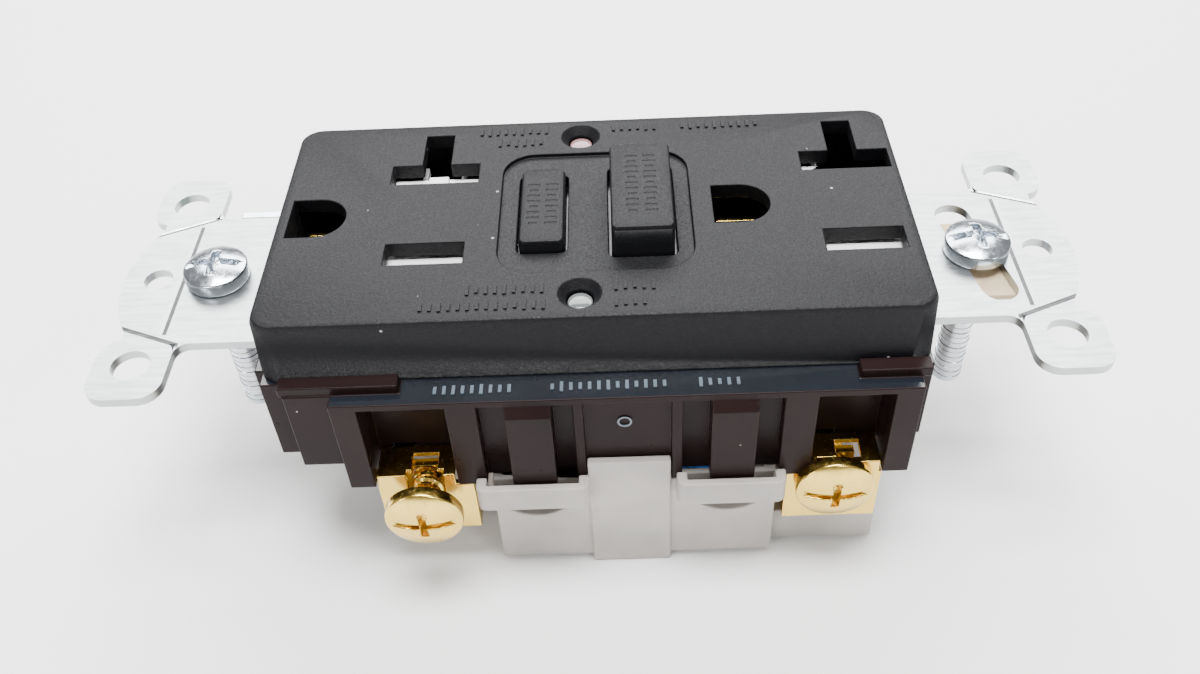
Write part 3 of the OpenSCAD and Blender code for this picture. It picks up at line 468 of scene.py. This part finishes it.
def paint_node(node):
    """Gives a CAD piece its finish, where its shape stays as it is."""
    piece = frame["nodes"][node]
    piece.data.materials.clear()
    piece.data.materials.append(finish(SLOT_OF[node]))


def place(piece, matrix):
    """Moves a piece's mesh into its place."""
    piece.data.transform(matrix)
    piece.data.update()
    return piece


def cut(piece, tool):
    """Cuts one closed mesh out of another, and drops the tool."""
    boolean = piece.modifiers.new("cut", "BOOLEAN")
    boolean.operation = "DIFFERENCE"
    boolean.solver = "EXACT"
    boolean.object = tool
    settle(piece)
    bpy.data.objects.remove(tool)
    return piece


def lathe(name, profile, steps=64):
    """A closed solid of revolution about Z, from (radius, height) points in mm."""
    work = bmesh.new()
    rings = []
    for radius, height in profile:
        if radius == 0:
            rings.append([work.verts.new((0, 0, height * MM))])
            continue
        ring = []
        for k in range(steps):
            a = math.tau * k / steps
            ring.append(work.verts.new((radius * MM * math.cos(a), radius * MM * math.sin(a), height * MM)))
        rings.append(ring)
    for low, high in zip(rings, rings[1:]):
        for k in range(steps):
            n = (k + 1) % steps
            corners = [low[k % len(low)], low[n % len(low)], high[n % len(high)], high[k % len(high)]]
            unique = list(dict.fromkeys(corners))
            if len(unique) > 2:
                work.faces.new(unique)
    bmesh.ops.recalc_face_normals(work, faces=work.faces)
    mesh = bpy.data.meshes.new(name)
    work.to_mesh(mesh)
    work.free()
    return add_object(name, mesh)


def smooth_by_angle(piece, degrees=30):
    """Smooth shading, with creases kept where faces meet sharply."""
    piece.data.shade_smooth()
    piece.data.set_sharp_from_angle(angle=math.radians(degrees))
    return piece


def boxes_object(name, boxes):
    """One mesh of several boxes, each from its low to its high corner in mm."""
    work = bmesh.new()
    for low, high in boxes:
        middle = (Vector(low) + Vector(high)) / 2 * MM
        size = (Vector(high) - Vector(low)) * MM
        bmesh.ops.create_cube(work, size=1.0, matrix=Matrix.LocRotScale(middle, None, size))
    mesh = bpy.data.meshes.new(name)
    work.to_mesh(mesh)
    work.free()
    return add_object(name, mesh)


# ---------------------------------------------------------------- node trees

def node_tree(name, inputs):
    """A geometry tree with named inputs: (name, kind, default)."""
    tree = bpy.data.node_groups.new(name, "GeometryNodeTree")
    tree.interface.new_socket("Geometry", in_out="INPUT", socket_type="NodeSocketGeometry")
    for label, kind, default in inputs:
        socket = tree.interface.new_socket(label, in_out="INPUT", socket_type="NodeSocket" + kind)
        if default is not None:
            socket.default_value = default
    tree.interface.new_socket("Material", in_out="INPUT", socket_type="NodeSocketMaterial")
    tree.interface.new_socket("Geometry", in_out="OUTPUT", socket_type="NodeSocketGeometry")
    return tree, tree.nodes.new("NodeGroupInput")


def add_node(tree, kind, links=(), **values):
    """A node with its sockets set or linked: links is {input name: output socket}."""
    node = tree.nodes.new(kind)
    for label, value in values.items():
        node.inputs[label.replace("_", " ")].default_value = value
    for label, output in dict(links).items():
        tree.links.new(output, node.inputs[label])
    return node


def close_tree(tree, group_in, geometry, smooth=True):
    """Ends a tree: realize, shade, set the material, and output."""
    real = add_node(tree, "GeometryNodeRealizeInstances", {"Geometry": geometry})
    last = real.outputs[0]
    if smooth:
        last = add_node(tree, "GeometryNodeSetShadeSmooth", {"Geometry": last}).outputs[0]
    painted = add_node(
        tree, "GeometryNodeSetMaterial", {"Geometry": last, "Material": group_in.outputs["Material"]}
    )
    add_node(tree, "NodeGroupOutput", {"Geometry": painted.outputs[0]})
    return tree


def joined(tree, *parts):
    """Several geometries as one."""
    node = tree.nodes.new("GeometryNodeJoinGeometry")
    for part in parts:
        tree.links.new(part, node.inputs[0])
    return node.outputs[0]


def coil_tree():
    """A helix of round wire that stands on z = 0."""
    tree, given = node_tree(
        "wire_coil",
        [("Turns", "Float", 6.0), ("Radius", "Float", 0.002), ("Height", "Float", 0.005),
         ("Wire", "Float", 0.0002)],
    )
    out = given.outputs
    spiral = add_node(
        tree, "GeometryNodeCurveSpiral",
        {"Rotations": out["Turns"], "Start Radius": out["Radius"], "End Radius": out["Radius"],
         "Height": out["Height"]}, Resolution=28,
    )
    section = add_node(tree, "GeometryNodeCurvePrimitiveCircle", {"Radius": out["Wire"]}, Resolution=8)
    wire = add_node(
        tree, "GeometryNodeCurveToMesh",
        {"Curve": spiral.outputs[0], "Profile Curve": section.outputs[0]}, Fill_Caps=True,
    )
    return close_tree(tree, given, wire.outputs[0])


def thread_tree():
    """Adds a threaded shank below a screw's head, which stands on z = 0."""
    tree, given = node_tree(
        "screw_thread",
        [("Turns", "Float", 8.0), ("Crest", "Float", 0.00175), ("Depth", "Float", 0.0003),
         ("Length", "Float", 0.006)],
    )
    out = given.outputs
    core_r = add_node(tree, "ShaderNodeMath", {0: out["Crest"], 1: out["Depth"]})
    core_r.operation = "SUBTRACT"
    drop = add_node(tree, "ShaderNodeMath", {0: out["Length"]})
    drop.operation = "MULTIPLY"
    drop.inputs[1].default_value = -0.5
    lift = add_node(tree, "ShaderNodeCombineXYZ", {"Z": drop.outputs[0]})
    core = add_node(
        tree, "GeometryNodeMeshCylinder", {"Radius": core_r.outputs[0], "Depth": out["Length"]}, Vertices=32
    )
    core = add_node(tree, "GeometryNodeTransform", {"Geometry": core.outputs[0], "Translation": lift.outputs[0]})
    run = add_node(tree, "ShaderNodeMath", {0: out["Length"]})
    run.operation = "MULTIPLY"
    run.inputs[1].default_value = 0.93
    spiral = add_node(
        tree, "GeometryNodeCurveSpiral",
        {"Rotations": out["Turns"], "Start Radius": core_r.outputs[0], "End Radius": core_r.outputs[0],
         "Height": run.outputs[0]}, Resolution=24,
    )
    start = add_node(tree, "ShaderNodeMath", {0: out["Length"]})
    start.operation = "MULTIPLY"
    start.inputs[1].default_value = -0.97
    sink = add_node(tree, "ShaderNodeCombineXYZ", {"Z": start.outputs[0]})
    spiral = add_node(
        tree, "GeometryNodeTransform", {"Geometry": spiral.outputs[0], "Translation": sink.outputs[0]}
    )
    section = add_node(tree, "GeometryNodeCurvePrimitiveCircle", {"Radius": out["Depth"]}, Resolution=4)
    thread = add_node(
        tree, "GeometryNodeCurveToMesh",
        {"Curve": spiral.outputs[0], "Profile Curve": section.outputs[0]}, Fill_Caps=True,
    )
    whole = joined(tree, out["Geometry"], core.outputs[0], thread.outputs[0])
    return close_tree(tree, given, whole, smooth=False)


def turns_tree():
    """Square turns of wire round a ring, as on a sensing coil."""
    tree, given = node_tree(
        "ring_of_turns",
        [("Count", "Int", 40), ("Ring", "Float", 0.004), ("Width", "Float", 0.002), ("Height", "Float", 0.003),
         ("Wire", "Float", 0.0002)],
    )
    out = given.outputs
    ring = add_node(tree, "GeometryNodeMeshCircle", {"Vertices": out["Count"], "Radius": out["Ring"]})
    turn = add_node(
        tree, "GeometryNodeCurvePrimitiveQuadrilateral", {"Width": out["Width"], "Height": out["Height"]}
    )
    section = add_node(tree, "GeometryNodeCurvePrimitiveCircle", {"Radius": out["Wire"]}, Resolution=6)
    wire = add_node(
        tree, "GeometryNodeCurveToMesh", {"Curve": turn.outputs[0], "Profile Curve": section.outputs[0]}
    )
    upright = add_node(tree, "GeometryNodeTransform", {"Geometry": wire.outputs[0]})
    upright.inputs["Rotation"].default_value = (math.pi / 2, 0, 0)
    index = tree.nodes.new("GeometryNodeInputIndex")
    step = add_node(tree, "ShaderNodeMath", {1: out["Count"]})
    step.operation = "DIVIDE"
    step.inputs[0].default_value = math.tau
    angle = add_node(tree, "ShaderNodeMath", {0: index.outputs[0], 1: step.outputs[0]})
    angle.operation = "MULTIPLY"
    turn_about_z = add_node(tree, "ShaderNodeCombineXYZ", {"Z": angle.outputs[0]})
    placed = add_node(
        tree, "GeometryNodeInstanceOnPoints",
        {"Points": ring.outputs[0], "Instance": upright.outputs[0], "Rotation": turn_about_z.outputs[0]},
    )
    return close_tree(tree, given, placed.outputs[0])


def ticks_tree():
    """A row of small raised bars along X, of slightly different lengths."""
    tree, given = node_tree(
        "row_of_marks",
        [("Count", "Int", 8), ("Pitch", "Float", 0.001), ("Width", "Float", 0.0003), ("Tall", "Float", 0.001),
         ("Rise", "Float", 0.0001), ("Seed", "Int", 3)],
    )
    out = given.outputs
    step = add_node(tree, "ShaderNodeCombineXYZ", {"X": out["Pitch"]})
    line = add_node(tree, "GeometryNodeMeshLine", {"Count": out["Count"], "Offset": step.outputs[0]})
    size = add_node(tree, "ShaderNodeCombineXYZ", {"X": out["Width"], "Y": out["Tall"], "Z": out["Rise"]})
    tick = add_node(tree, "GeometryNodeMeshCube", {"Size": size.outputs[0]})
    vary = tree.nodes.new("FunctionNodeRandomValue")
    vary.data_type = "FLOAT_VECTOR"
    vary.inputs[0].default_value = (1.0, 0.55, 1.0)
    vary.inputs[1].default_value = (1.0, 1.0, 1.0)
    tree.links.new(out["Seed"], vary.inputs["Seed"])
    placed = add_node(
        tree, "GeometryNodeInstanceOnPoints",
        {"Points": line.outputs[0], "Instance": tick.outputs[0], "Scale": vary.outputs[0]},
    )
    return close_tree(tree, given, placed.outputs[0], smooth=False)


TREES = {}


def grow(piece, maker, slot, **values):
    """Runs a geometry tree on a piece and keeps the result as plain mesh."""
    if maker not in TREES:
        TREES[maker] = maker()
    tree = TREES[maker]
    modifier = piece.modifiers.new("grow", "NODES")
    modifier.node_group = tree
    names = {s.name: s.identifier for s in tree.interface.items_tree if s.in_out == "INPUT"}
    for label, value in values.items():
        modifier[names[label]] = value
    modifier[names["Material"]] = finish(slot)
    settle(piece)
    face_outwards(piece.data)
    return piece


def empty_piece(name):
    """A piece with no mesh yet, for a tree that makes all of it."""
    return add_object(name, bpy.data.meshes.new(name))


# ---------------------------------------------------------------- pieces

def marks_row(name, start, count, seed, tall=1.5, turn=0.0, tilt=0.0):
    """A row of generic raised marks that starts at a point, in mm."""
    s = sizes()
    row = empty_piece(name)
    grow(
        row, ticks_tree, "black_face", Count=count, Pitch=s.tick_pitch * MM, Width=0.34 * MM, Tall=tall * MM,
        Rise=2 * s.tick_rise * MM, Seed=seed,
    )
    spin = Matrix.Rotation(tilt, 4, "X") @ Matrix.Rotation(turn, 4, "Z")
    return place(row, Matrix.Translation(Vector(start) * MM) @ spin)


def join_pieces(name, pieces):
    """Several meshes as one piece."""
    work = bmesh.new()
    for piece in pieces:
        work.from_mesh(piece.data)
    mesh = bpy.data.meshes.new(name)
    work.to_mesh(mesh)
    work.free()
    for material in pieces[0].data.materials:
        mesh.materials.append(material)
    for piece in pieces:
        bpy.data.objects.remove(piece)
    return add_object(name, mesh)


class RECEPTACLE_OT_face(bpy.types.Operator):
    """Face cover with rounded openings and rows of raised marks"""

    bl_idname = "receptacle.face"
    bl_label = "Face cover"

    def execute(self, context):
        rounded_node("face_cover", sizes().plastic_edge)
        low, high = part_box("face_cover")
        top = high.z / MM
        near = (low.y / MM) + 0.35
        rows = [
            (-16.6, near + 2.0, 14, 3), (-12.2, near + 4.3, 9, 4),
            (2.4, near + 2.0, 4, 5), (2.4, near + 4.3, 5, 6),
            (-12.4, -near - 2.2, 9, 7), (-10.2, -near - 4.4, 6, 8),
            (2.6, -near - 2.2, 6, 9), (10.4, -near - 2.2, 10, 10),
        ]
        marks = [marks_row(f"mark_{k}", (x, y, top), n, seed) for k, (x, y, n, seed) in enumerate(rows)]
        piece = join_pieces("face_marks", marks)
        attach(piece, "body")
        return {"FINISHED"}


class RECEPTACLE_OT_buttons(bpy.types.Operator):
    """Test and reset buttons, each with sunk generic marks on its top"""

    bl_idname = "receptacle.buttons"
    bl_label = "Buttons"

    def execute(self, context):
        for node, rows, count in (("test_button", 2, 8), ("reset_button", 2, 11)):
            low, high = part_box(node)
            middle = (low + high) / 2 / MM
            top = high.z / MM
            piece = merged_copy(node, node + "_finished")
            boxes = []
            for row in range(rows):
                x = middle.x + (row - (rows - 1) / 2) * 1.9
                for k in range(count):
                    y = middle.y + (k - (count - 1) / 2) * 0.92
                    half = 0.62 if (k + row) % 3 else 0.42
                    boxes.append(((x - half, y - 0.13, top - 0.1), (x + half, y + 0.13, top + 0.3)))
            cut(piece, boxes_object("marks", boxes))
            for polygon in piece.data.polygons:
                polygon.use_smooth = True
            stand_for(round_edges(piece, 0.06, 1), node, "black_button", "black_face")
            self.matt_top(piece, top)
        return {"FINISHED"}

    def matt_top(self, piece, top):
        """Gives a button's top the face's matt finish."""
        for polygon in piece.data.polygons:
            if polygon.normal.z > 0.3 and polygon.center.z / MM > top - 0.7:
                polygon.material_index = 1


class RECEPTACLE_OT_lamps(bpy.types.Operator):
    """Light pipes with domed ends, and the two lamps below them"""

    bl_idname = "receptacle.lamps"
    bl_label = "Lamps"

    def execute(self, context):
        for node in ("power_light_pipe", "trip_light_pipe"):
            low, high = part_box(node)
            middle = (low + high) / 2
            radius = (high.x - low.x) / 2 / MM
            tall = (high.z - low.z) / MM
            angles = (0, 0.35, 0.7, 1.05, 1.35)
            dome = [(radius * math.cos(a), tall - 0.3 + 0.3 * math.sin(a)) for a in angles]
            pipe = lathe(node + "_finished", [(0, 0), (radius - 0.1, 0), (radius, 0.1), *dome, (0, tall)], 40)
            place(pipe, Matrix.Translation((middle.x, middle.y, low.z)))
            stand_for(smooth_by_angle(pipe), node)
        for node in ("power_led", "trip_led"):
            paint_node(node)
        return {"FINISHED"}


class RECEPTACLE_OT_strap(bpy.types.Operator):
    """Mounting strap in its stamped finish, and the ground terminal's bracket with soft stamped edges"""

    bl_idname = "receptacle.strap"
    bl_label = "Strap"

    def execute(self, context):
        paint_node("mounting_strap")
        rounded_node("ground_terminal", sizes().metal_edge, 2, "zinc_plate")
        return {"FINISHED"}


class RECEPTACLE_OT_housings(bpy.types.Operator):
    """Middle housing and rear cover, with ledge marks and a mould mark"""

    bl_idname = "receptacle.housings"
    bl_label = "Housings"

    def execute(self, context):
        housing = rounded_node("middle_housing", sizes().plastic_edge, 2, "black_body", "ledge_gloss")
        self.make_cover()
        ledge = 0.45
        # The housing's top faces at the ledge take the glossy finish with its painted blue sheen
        for polygon in housing.data.polygons:
            if polygon.normal.z > 0.95 and abs(polygon.center.z / MM - ledge) < 0.2:
                polygon.material_index = 1
        rows = [(-15.8, -18.7, 9, 12), (-4.2, -18.7, 13, 13), (10.4, -18.7, 5, 14),
                (-15.8, 18.7, 9, 15), (-4.2, 18.7, 13, 16)]
        marks = [
            marks_row(f"ledge_{k}", (x, y, ledge), n, seed, 1.3) for k, (x, y, n, seed) in enumerate(rows)
        ]
        ring = lathe("mould_mark", [(0.55, 0), (0.75, 0.05), (0.75, 0.12), (0.55, 0.12), (0.55, 0)], 28)
        wall = Matrix.Translation((2.8 * MM, -19.84 * MM, -3.6 * MM)) @ Matrix.Rotation(math.pi / 2, 4, "X")
        ring.data.materials.append(finish("black_body"))
        marks.append(place(ring, wall))
        piece = join_pieces("housing_marks", marks)
        # The ledge marks and the mould mark are black plastic; their light blue-grey is a painted highlight
        piece.data.materials.clear()
        piece.data.materials.append(finish("mark_gloss_painted_highlight"))
        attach(piece, "body")
        return {"FINISHED"}

    def make_cover(self):
        """The rear cover, open below each of its four loops."""
        cover = merged_copy("rear_cover", "rear_cover_finished")
        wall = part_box("rear_cover")[1].y / MM - 2
        lip = -14.7
        radius = 4.4
        for x in (-6.9, 13.6):
            for side in (-1, 1):
                disc = lathe("opening", [(0, -2.3), (radius, -2.3), (radius, 0.2), (0, 0.2)], 48)
                middle = Vector((x, side * wall, lip + 1.1)) * MM
                place(disc, Matrix.Translation(middle) @ Matrix.Rotation(-side * math.pi / 2, 4, "X"))
                low = (x - 9, side * wall - 4, lip)
                high = (x + 9, side * wall + 4, lip + 12)
                above = boxes_object("above", [(low, high)])
                cut(cover, cut(disc, above))
        stand_for(round_edges(cover, 0.2, 3), "rear_cover")


class RECEPTACLE_OT_shutters(bpy.types.Operator):
    """White shutters and their trays"""

    bl_idname = "receptacle.shutters"
    bl_label = "Shutters"

    def execute(self, context):
        for side in ("left", "right"):
            rounded_node(side + "_shutter", 0.1)
            rounded_node(side + "_shutter_tray", 0.08)
        return {"FINISHED"}


class RECEPTACLE_OT_contacts(bpy.types.Operator):
    """Ground contacts, buses, contact arms and conductors"""

    bl_idname = "receptacle.contacts"
    bl_label = "Contacts"

    def execute(self, context):
        for node in ("left_ground_contact", "right_ground_contact", "hot_bus", "neutral_bus",
                     "hot_contact_arm", "neutral_contact_arm", "test_contact"):
            rounded_node(node, 0.07)
        paint_node("line_conductors")
        return {"FINISHED"}


class RECEPTACLE_OT_terminals(bpy.types.Operator):
    """Terminal plates and the clamps behind them"""

    bl_idname = "receptacle.terminals"
    bl_label = "Terminals"

    def execute(self, context):
        for side in ("hot", "neutral"):
            for end in ("line", "load"):
                rounded_node(f"{side}_{end}_terminal", sizes().metal_edge)
                rounded_node(f"{side}_{end}_clamp", 0.08)
        return {"FINISHED"}


def screw_head(name, radius, tall, recess):
    """A domed head on z = 0, with a slot and a cross recess."""
    sphere = 2.2 * radius
    steps = 9
    dome = []
    for k in range(steps + 1):
        r = (radius - 0.14) * (1 - k / steps)
        dome.append((r, tall - sphere + math.sqrt(sphere ** 2 - r ** 2)))
    rim = dome[0][1]
    side = [(0, 0), (radius - 0.15, 0), (radius, 0.15), (radius, rim - 0.2), (radius - 0.05, rim - 0.06)]
    profile = [*side, *dome]
    head = lathe(name, profile)
    wing = recess * radius
    slot = recess * 0.85
    cross = (wing, slot, 2.4)
    for angle, size in ((0, (2 * radius + 1, slot, 1.4)), (0, cross), (math.pi / 2, cross)):
        tool = boxes_object("recess", [([-s / 2 for s in size], [s / 2 for s in size])])
        place(tool, Matrix.Translation((0, 0, tall * MM)) @ Matrix.Rotation(angle, 4, "Z"))
        cut(head, tool)
    return head


def make_screw(node, outward, head_tall, look, recess=0.9, neck=0.0):
    """A whole screw: domed head, plain neck and threaded shank, along the given outward axis."""
    s = sizes()
    thread_r = THREAD_RADIUS
    depth = s.fine_thread_depth if neck else s.thread_depth
    low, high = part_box(node)
    axis = Vector(outward)
    k = max(range(3), key=lambda i: abs(axis[i]))
    span = (high[k] - low[k]) / MM
    radius = max(high[i] - low[i] for i in range(3) if i != k) / 2 / MM
    middle = (low + high) / 2
    end = high[k] if axis[k] > 0 else low[k]
    middle[k] = end - axis[k] * head_tall * MM
    head = screw_head(node + "_finished", radius, head_tall, recess)
    round_edges(head, 0.07, 2)
    tip = 0.9 if neck else 0.0
    run = span - head_tall - neck - tip
    place(head, Matrix.Translation((0, 0, neck * MM)))
    grow(
        head, thread_tree, look, Turns=run * 0.93 / s.thread_pitch, Crest=thread_r * MM,
        Depth=depth * MM, Length=run * MM,
    )
    if neck:
        core = thread_r - NECK_RELIEF
        stem = lathe("neck", [(0, -0.2), (core, -0.2), (core, neck + 0.2), (0, neck + 0.2)], 32)
        dome = [(core * math.cos(a), -run - tip * math.sin(a)) for a in (1.3, 1.0, 0.7, 0.35, 0.0)]
        end = lathe("tip", [(0, -run - tip), *dome, (core, 0.2 - run), (0, 0.2 - run)], 32)
        head = join_pieces(node + "_finished", [head, stem, end])
        place(head, Matrix.Translation((0, 0, -neck * MM)))
    turn = Vector((0, 0, 1)).rotation_difference(axis).to_matrix().to_4x4()
    place(head, Matrix.Translation(middle) @ turn)
    return stand_for(smooth_by_angle(head, 35), node, look)


class RECEPTACLE_OT_screws(bpy.types.Operator):
    """Terminal, ground, mounting and cover screws, with their threads"""

    bl_idname = "receptacle.screws"
    bl_label = "Screws"

    def execute(self, context):
        s = sizes()
        for end in ("line", "load"):
            make_screw(f"hot_{end}_screw", (0, -1, 0), s.head_height, "brass")
            make_screw(f"neutral_{end}_screw", (0, 1, 0), s.head_height, "nickel")
        make_screw("ground_screw", (0, 1, 0), s.ground_head_height, "green_zinc")
        for side in ("left", "right"):
            make_screw(side + "_mounting_screw", (0, 0, 1), s.box_head_height, "zinc_plate", 1.1, 2.4)
            rounded_node(side + "_screw_washer", 0.12)
        paint_node("cover_screws")
        return {"FINISHED"}


def make_spring(node, axis, turns, wire, anchor_low):
    """A coil spring in a CAD spring's place."""
    low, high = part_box(node)
    k = max(range(3), key=lambda i: abs(axis[i]))
    tall = high[k] - low[k]
    across = [high[i] - low[i] for i in range(3) if i != k]
    radius = min(across) / 2 - wire * MM
    spring = empty_piece(node + "_finished")
    grow(
        spring, coil_tree, SLOT_OF[node], Turns=turns, Radius=radius, Height=tall - 2 * wire * MM,
        Wire=wire * MM,
    )
    middle = (low + high) / 2
    middle[k] = low[k] + wire * MM
    turn = Vector((0, 0, 1)).rotation_difference(Vector(axis)).to_matrix().to_4x4()
    place(spring, Matrix.Translation(middle) @ turn)
    stand_for(spring, node)
    anchor = (low + high) / 2
    anchor[k] = low[k] if anchor_low else high[k]
    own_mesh(spring)


class RECEPTACLE_OT_springs(bpy.types.Operator):
    """Button and shutter springs"""

    bl_idname = "receptacle.springs"
    bl_label = "Springs"

    def execute(self, context):
        make_spring("reset_spring", (0, 0, 1), 7.0, 0.2, True)
        make_spring("test_spring", (0, 0, 1), 5.0, 0.18, True)
        for side in ("left", "right"):
            make_spring(side + "_shutter_spring", (0, 1, 0), 6.0, 0.12, True)
        return {"FINISHED"}


class RECEPTACLE_OT_board(bpy.types.Operator):
    """Circuit board with its chip, diodes, varistor and capacitor"""

    bl_idname = "receptacle.board"
    bl_label = "Circuit board"

    def execute(self, context):
        rounded_node("filter_capacitor", 0.3, 3)
        rounded_node("varistor", 0.9, 4)
        for node in ("circuit_board", "control_chip", "rectifier_diodes"):
            paint_node(node)
        return {"FINISHED"}


class RECEPTACLE_OT_coils(bpy.types.Operator):
    """Sensing coils in their housing, and the solenoid with its winding"""

    bl_idname = "receptacle.coils"
    bl_label = "Coils"

    def execute(self, context):
        s = sizes()
        wire = s.magnet_wire * MM
        for node in ("sense_coil", "neutral_coil"):
            low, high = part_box(node)
            outer = (high.x - low.x) / 2
            inner = 2.45 * MM
            piece = empty_piece(node + "_finished")
            grow(
                piece, turns_tree, SLOT_OF[node], Count=s.toroid_turns, Ring=(outer + inner) / 2,
                Width=outer - inner - 2 * wire, Height=high.z - low.z - 2 * wire, Wire=wire,
            )
            place(piece, Matrix.Translation((low + high) / 2))
            stand_for(piece, node)
        low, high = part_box("solenoid_winding")
        radius = (high.z - low.z) / 2 - wire
        winding = empty_piece("solenoid_winding_finished")
        span = high.x - low.x - 2 * wire
        grow(
            winding, coil_tree, "copper_wire", Turns=span / (2 * wire), Radius=radius, Height=span, Wire=wire
        )
        middle = (low + high) / 2
        middle.x = low.x + wire
        place(winding, Matrix.Translation(middle) @ Matrix.Rotation(math.pi / 2, 4, "Y"))
        stand_for(winding, "solenoid_winding")
        rounded_node("solenoid_yoke", 0.1)
        for node in ("transformer_housing", "solenoid_bobbin"):
            paint_node(node)
        return {"FINISHED"}


class RECEPTACLE_OT_trip(bpy.types.Operator):
    """Reset pin, plunger, latch plate and contact carriage"""

    bl_idname = "receptacle.trip"
    bl_label = "Trip mechanism"

    def execute(self, context):
        rounded_node("contact_carriage", 0.12)
        rounded_node("latch_plate", 0.06)
        for node in ("reset_pin", "plunger"):
            paint_node(node)
        return {"FINISHED"}


def soft_light(name, at, aim, size, power):
    """A large soft light, in metres and watts."""
    data = bpy.data.lights.new(name, "AREA")
    data.shape = "RECTANGLE"
    data.size, data.size_y = size
    data.energy = power
    lamp = bpy.data.objects.new(name, data)
    lamp.location = at
    lamp.rotation_euler = (Vector(aim) - Vector(at)).to_track_quat("-Z", "Y").to_euler()
    bpy.context.scene.collection.objects.link(lamp)
    return lamp


class RECEPTACLE_OT_stage(bpy.types.Operator):
    """Pale floor, soft lights and the camera"""

    bl_idname = "receptacle.stage"
    bl_label = "Stage"

    def execute(self, context):
        scene = context.scene
        low, high = Vector(CAD_BOX[0]), Vector(CAD_BOX[1])
        floor = boxes_object("floor", [((-900, -900, low.z / MM - 1), (900, 900, low.z / MM))])
        material, tree, shader, at = shader_tree("pale_floor")
        tree.links.new(
            tint(tree, noise(tree, at, 60.0), colours().floor, [c * 0.985 for c in colours().floor]),
            shader.inputs["Base Color"],
        )
        shader.inputs["Roughness"].default_value = 0.8
        floor.data.materials.append(material)
        world = bpy.data.worlds.new("studio")
        world.use_nodes = True
        world.node_tree.nodes["Background"].inputs["Color"].default_value = (1.0, 1.0, 1.0, 1.0)
        world.node_tree.nodes["Background"].inputs["Strength"].default_value = 0.32
        scene.world = world
        soft_light("back", (0.0, 0.36, 0.34), (0, 0, 0), (0.7, 0.3), 7.5)
        soft_light("overhead", (0.0, -0.02, 0.5), (0, 0, 0), (0.3, 0.2), 6.8)
        soft_light("front_left", (-0.3, -0.35, 0.22), (0, 0, 0), (0.12, 0.12), 0.7)
        soft_light("front_right", (0.28, -0.32, 0.3), (0, 0, 0), (0.08, 0.08), 0.6)
        self.add_camera(scene)
        return {"FINISHED"}

    def add_camera(self, scene):
        """The camera, aimed by its azimuth, elevation and roll."""
        view = scene.receptacle_view
        az, el, roll = (math.radians(v) for v in (view.azimuth, view.elevation, view.roll))
        back = Vector((math.sin(az) * math.cos(el), -math.cos(az) * math.cos(el), math.sin(el)))
        right = Vector((0, 0, 1)).cross(back).normalized()
        up = back.cross(right)
        side = right * math.cos(roll) + up * math.sin(roll)
        top = up * math.cos(roll) - right * math.sin(roll)
        at = Vector((view.aim_x, view.aim_y, 0)) * MM + back * view.distance * MM
        data = bpy.data.cameras.new("view")
        data.lens = view.lens
        data.sensor_width = 36.0
        data.sensor_fit = "HORIZONTAL"
        data.clip_start = 0.005
        camera = bpy.data.objects.new("view", data)
        turn = Matrix((side, top, back)).transposed().to_4x4()
        camera.matrix_world = Matrix.Translation(at) @ turn
        scene.collection.objects.link(camera)
        scene.camera = camera


OPERATORS = (
    RECEPTACLE_OT_stage, RECEPTACLE_OT_face, RECEPTACLE_OT_buttons, RECEPTACLE_OT_lamps, RECEPTACLE_OT_strap,
    RECEPTACLE_OT_housings, RECEPTACLE_OT_shutters, RECEPTACLE_OT_contacts, RECEPTACLE_OT_terminals,
    RECEPTACLE_OT_screws, RECEPTACLE_OT_springs, RECEPTACLE_OT_board, RECEPTACLE_OT_coils, RECEPTACLE_OT_trip,
)


class RECEPTACLE_PT_pieces(bpy.types.Panel):
    """Lists the pieces and the settings"""

    bl_label = "Receptacle"
    bl_idname = "RECEPTACLE_PT_pieces"
    bl_space_type = "VIEW_3D"
    bl_region_type = "UI"
    bl_category = "Receptacle"

    def draw(self, context):
        for group in ("receptacle_sizes", "receptacle_colours", "receptacle_view"):
            settings = getattr(context.scene, group)
            for name in settings.__annotations__:
                self.layout.prop(settings, name)
        for operator in OPERATORS:
            self.layout.operator(operator.bl_idname)


GROUPS = {
    "receptacle_sizes": ReceptacleSizes,
    "receptacle_colours": ReceptacleColours,
    "receptacle_view": ReceptacleView,
}


def register():
    for group in GROUPS.values():
        bpy.utils.register_class(group)
    for name, group in GROUPS.items():
        setattr(bpy.types.Scene, name, PointerProperty(type=group))
    for operator in OPERATORS:
        bpy.utils.register_class(operator)
    bpy.utils.register_class(RECEPTACLE_PT_pieces)


def unregister():
    bpy.utils.unregister_class(RECEPTACLE_PT_pieces)
    for operator in reversed(OPERATORS):
        bpy.utils.unregister_class(operator)
    for name in GROUPS:
        delattr(bpy.types.Scene, name)
    for group in GROUPS.values():
        bpy.utils.unregister_class(group)


def main():
    register()
    for operator in OPERATORS:
        group, name = operator.bl_idname.split(".")
        getattr(getattr(bpy.ops, group), name)()


if __name__ == "__main__":
    main()
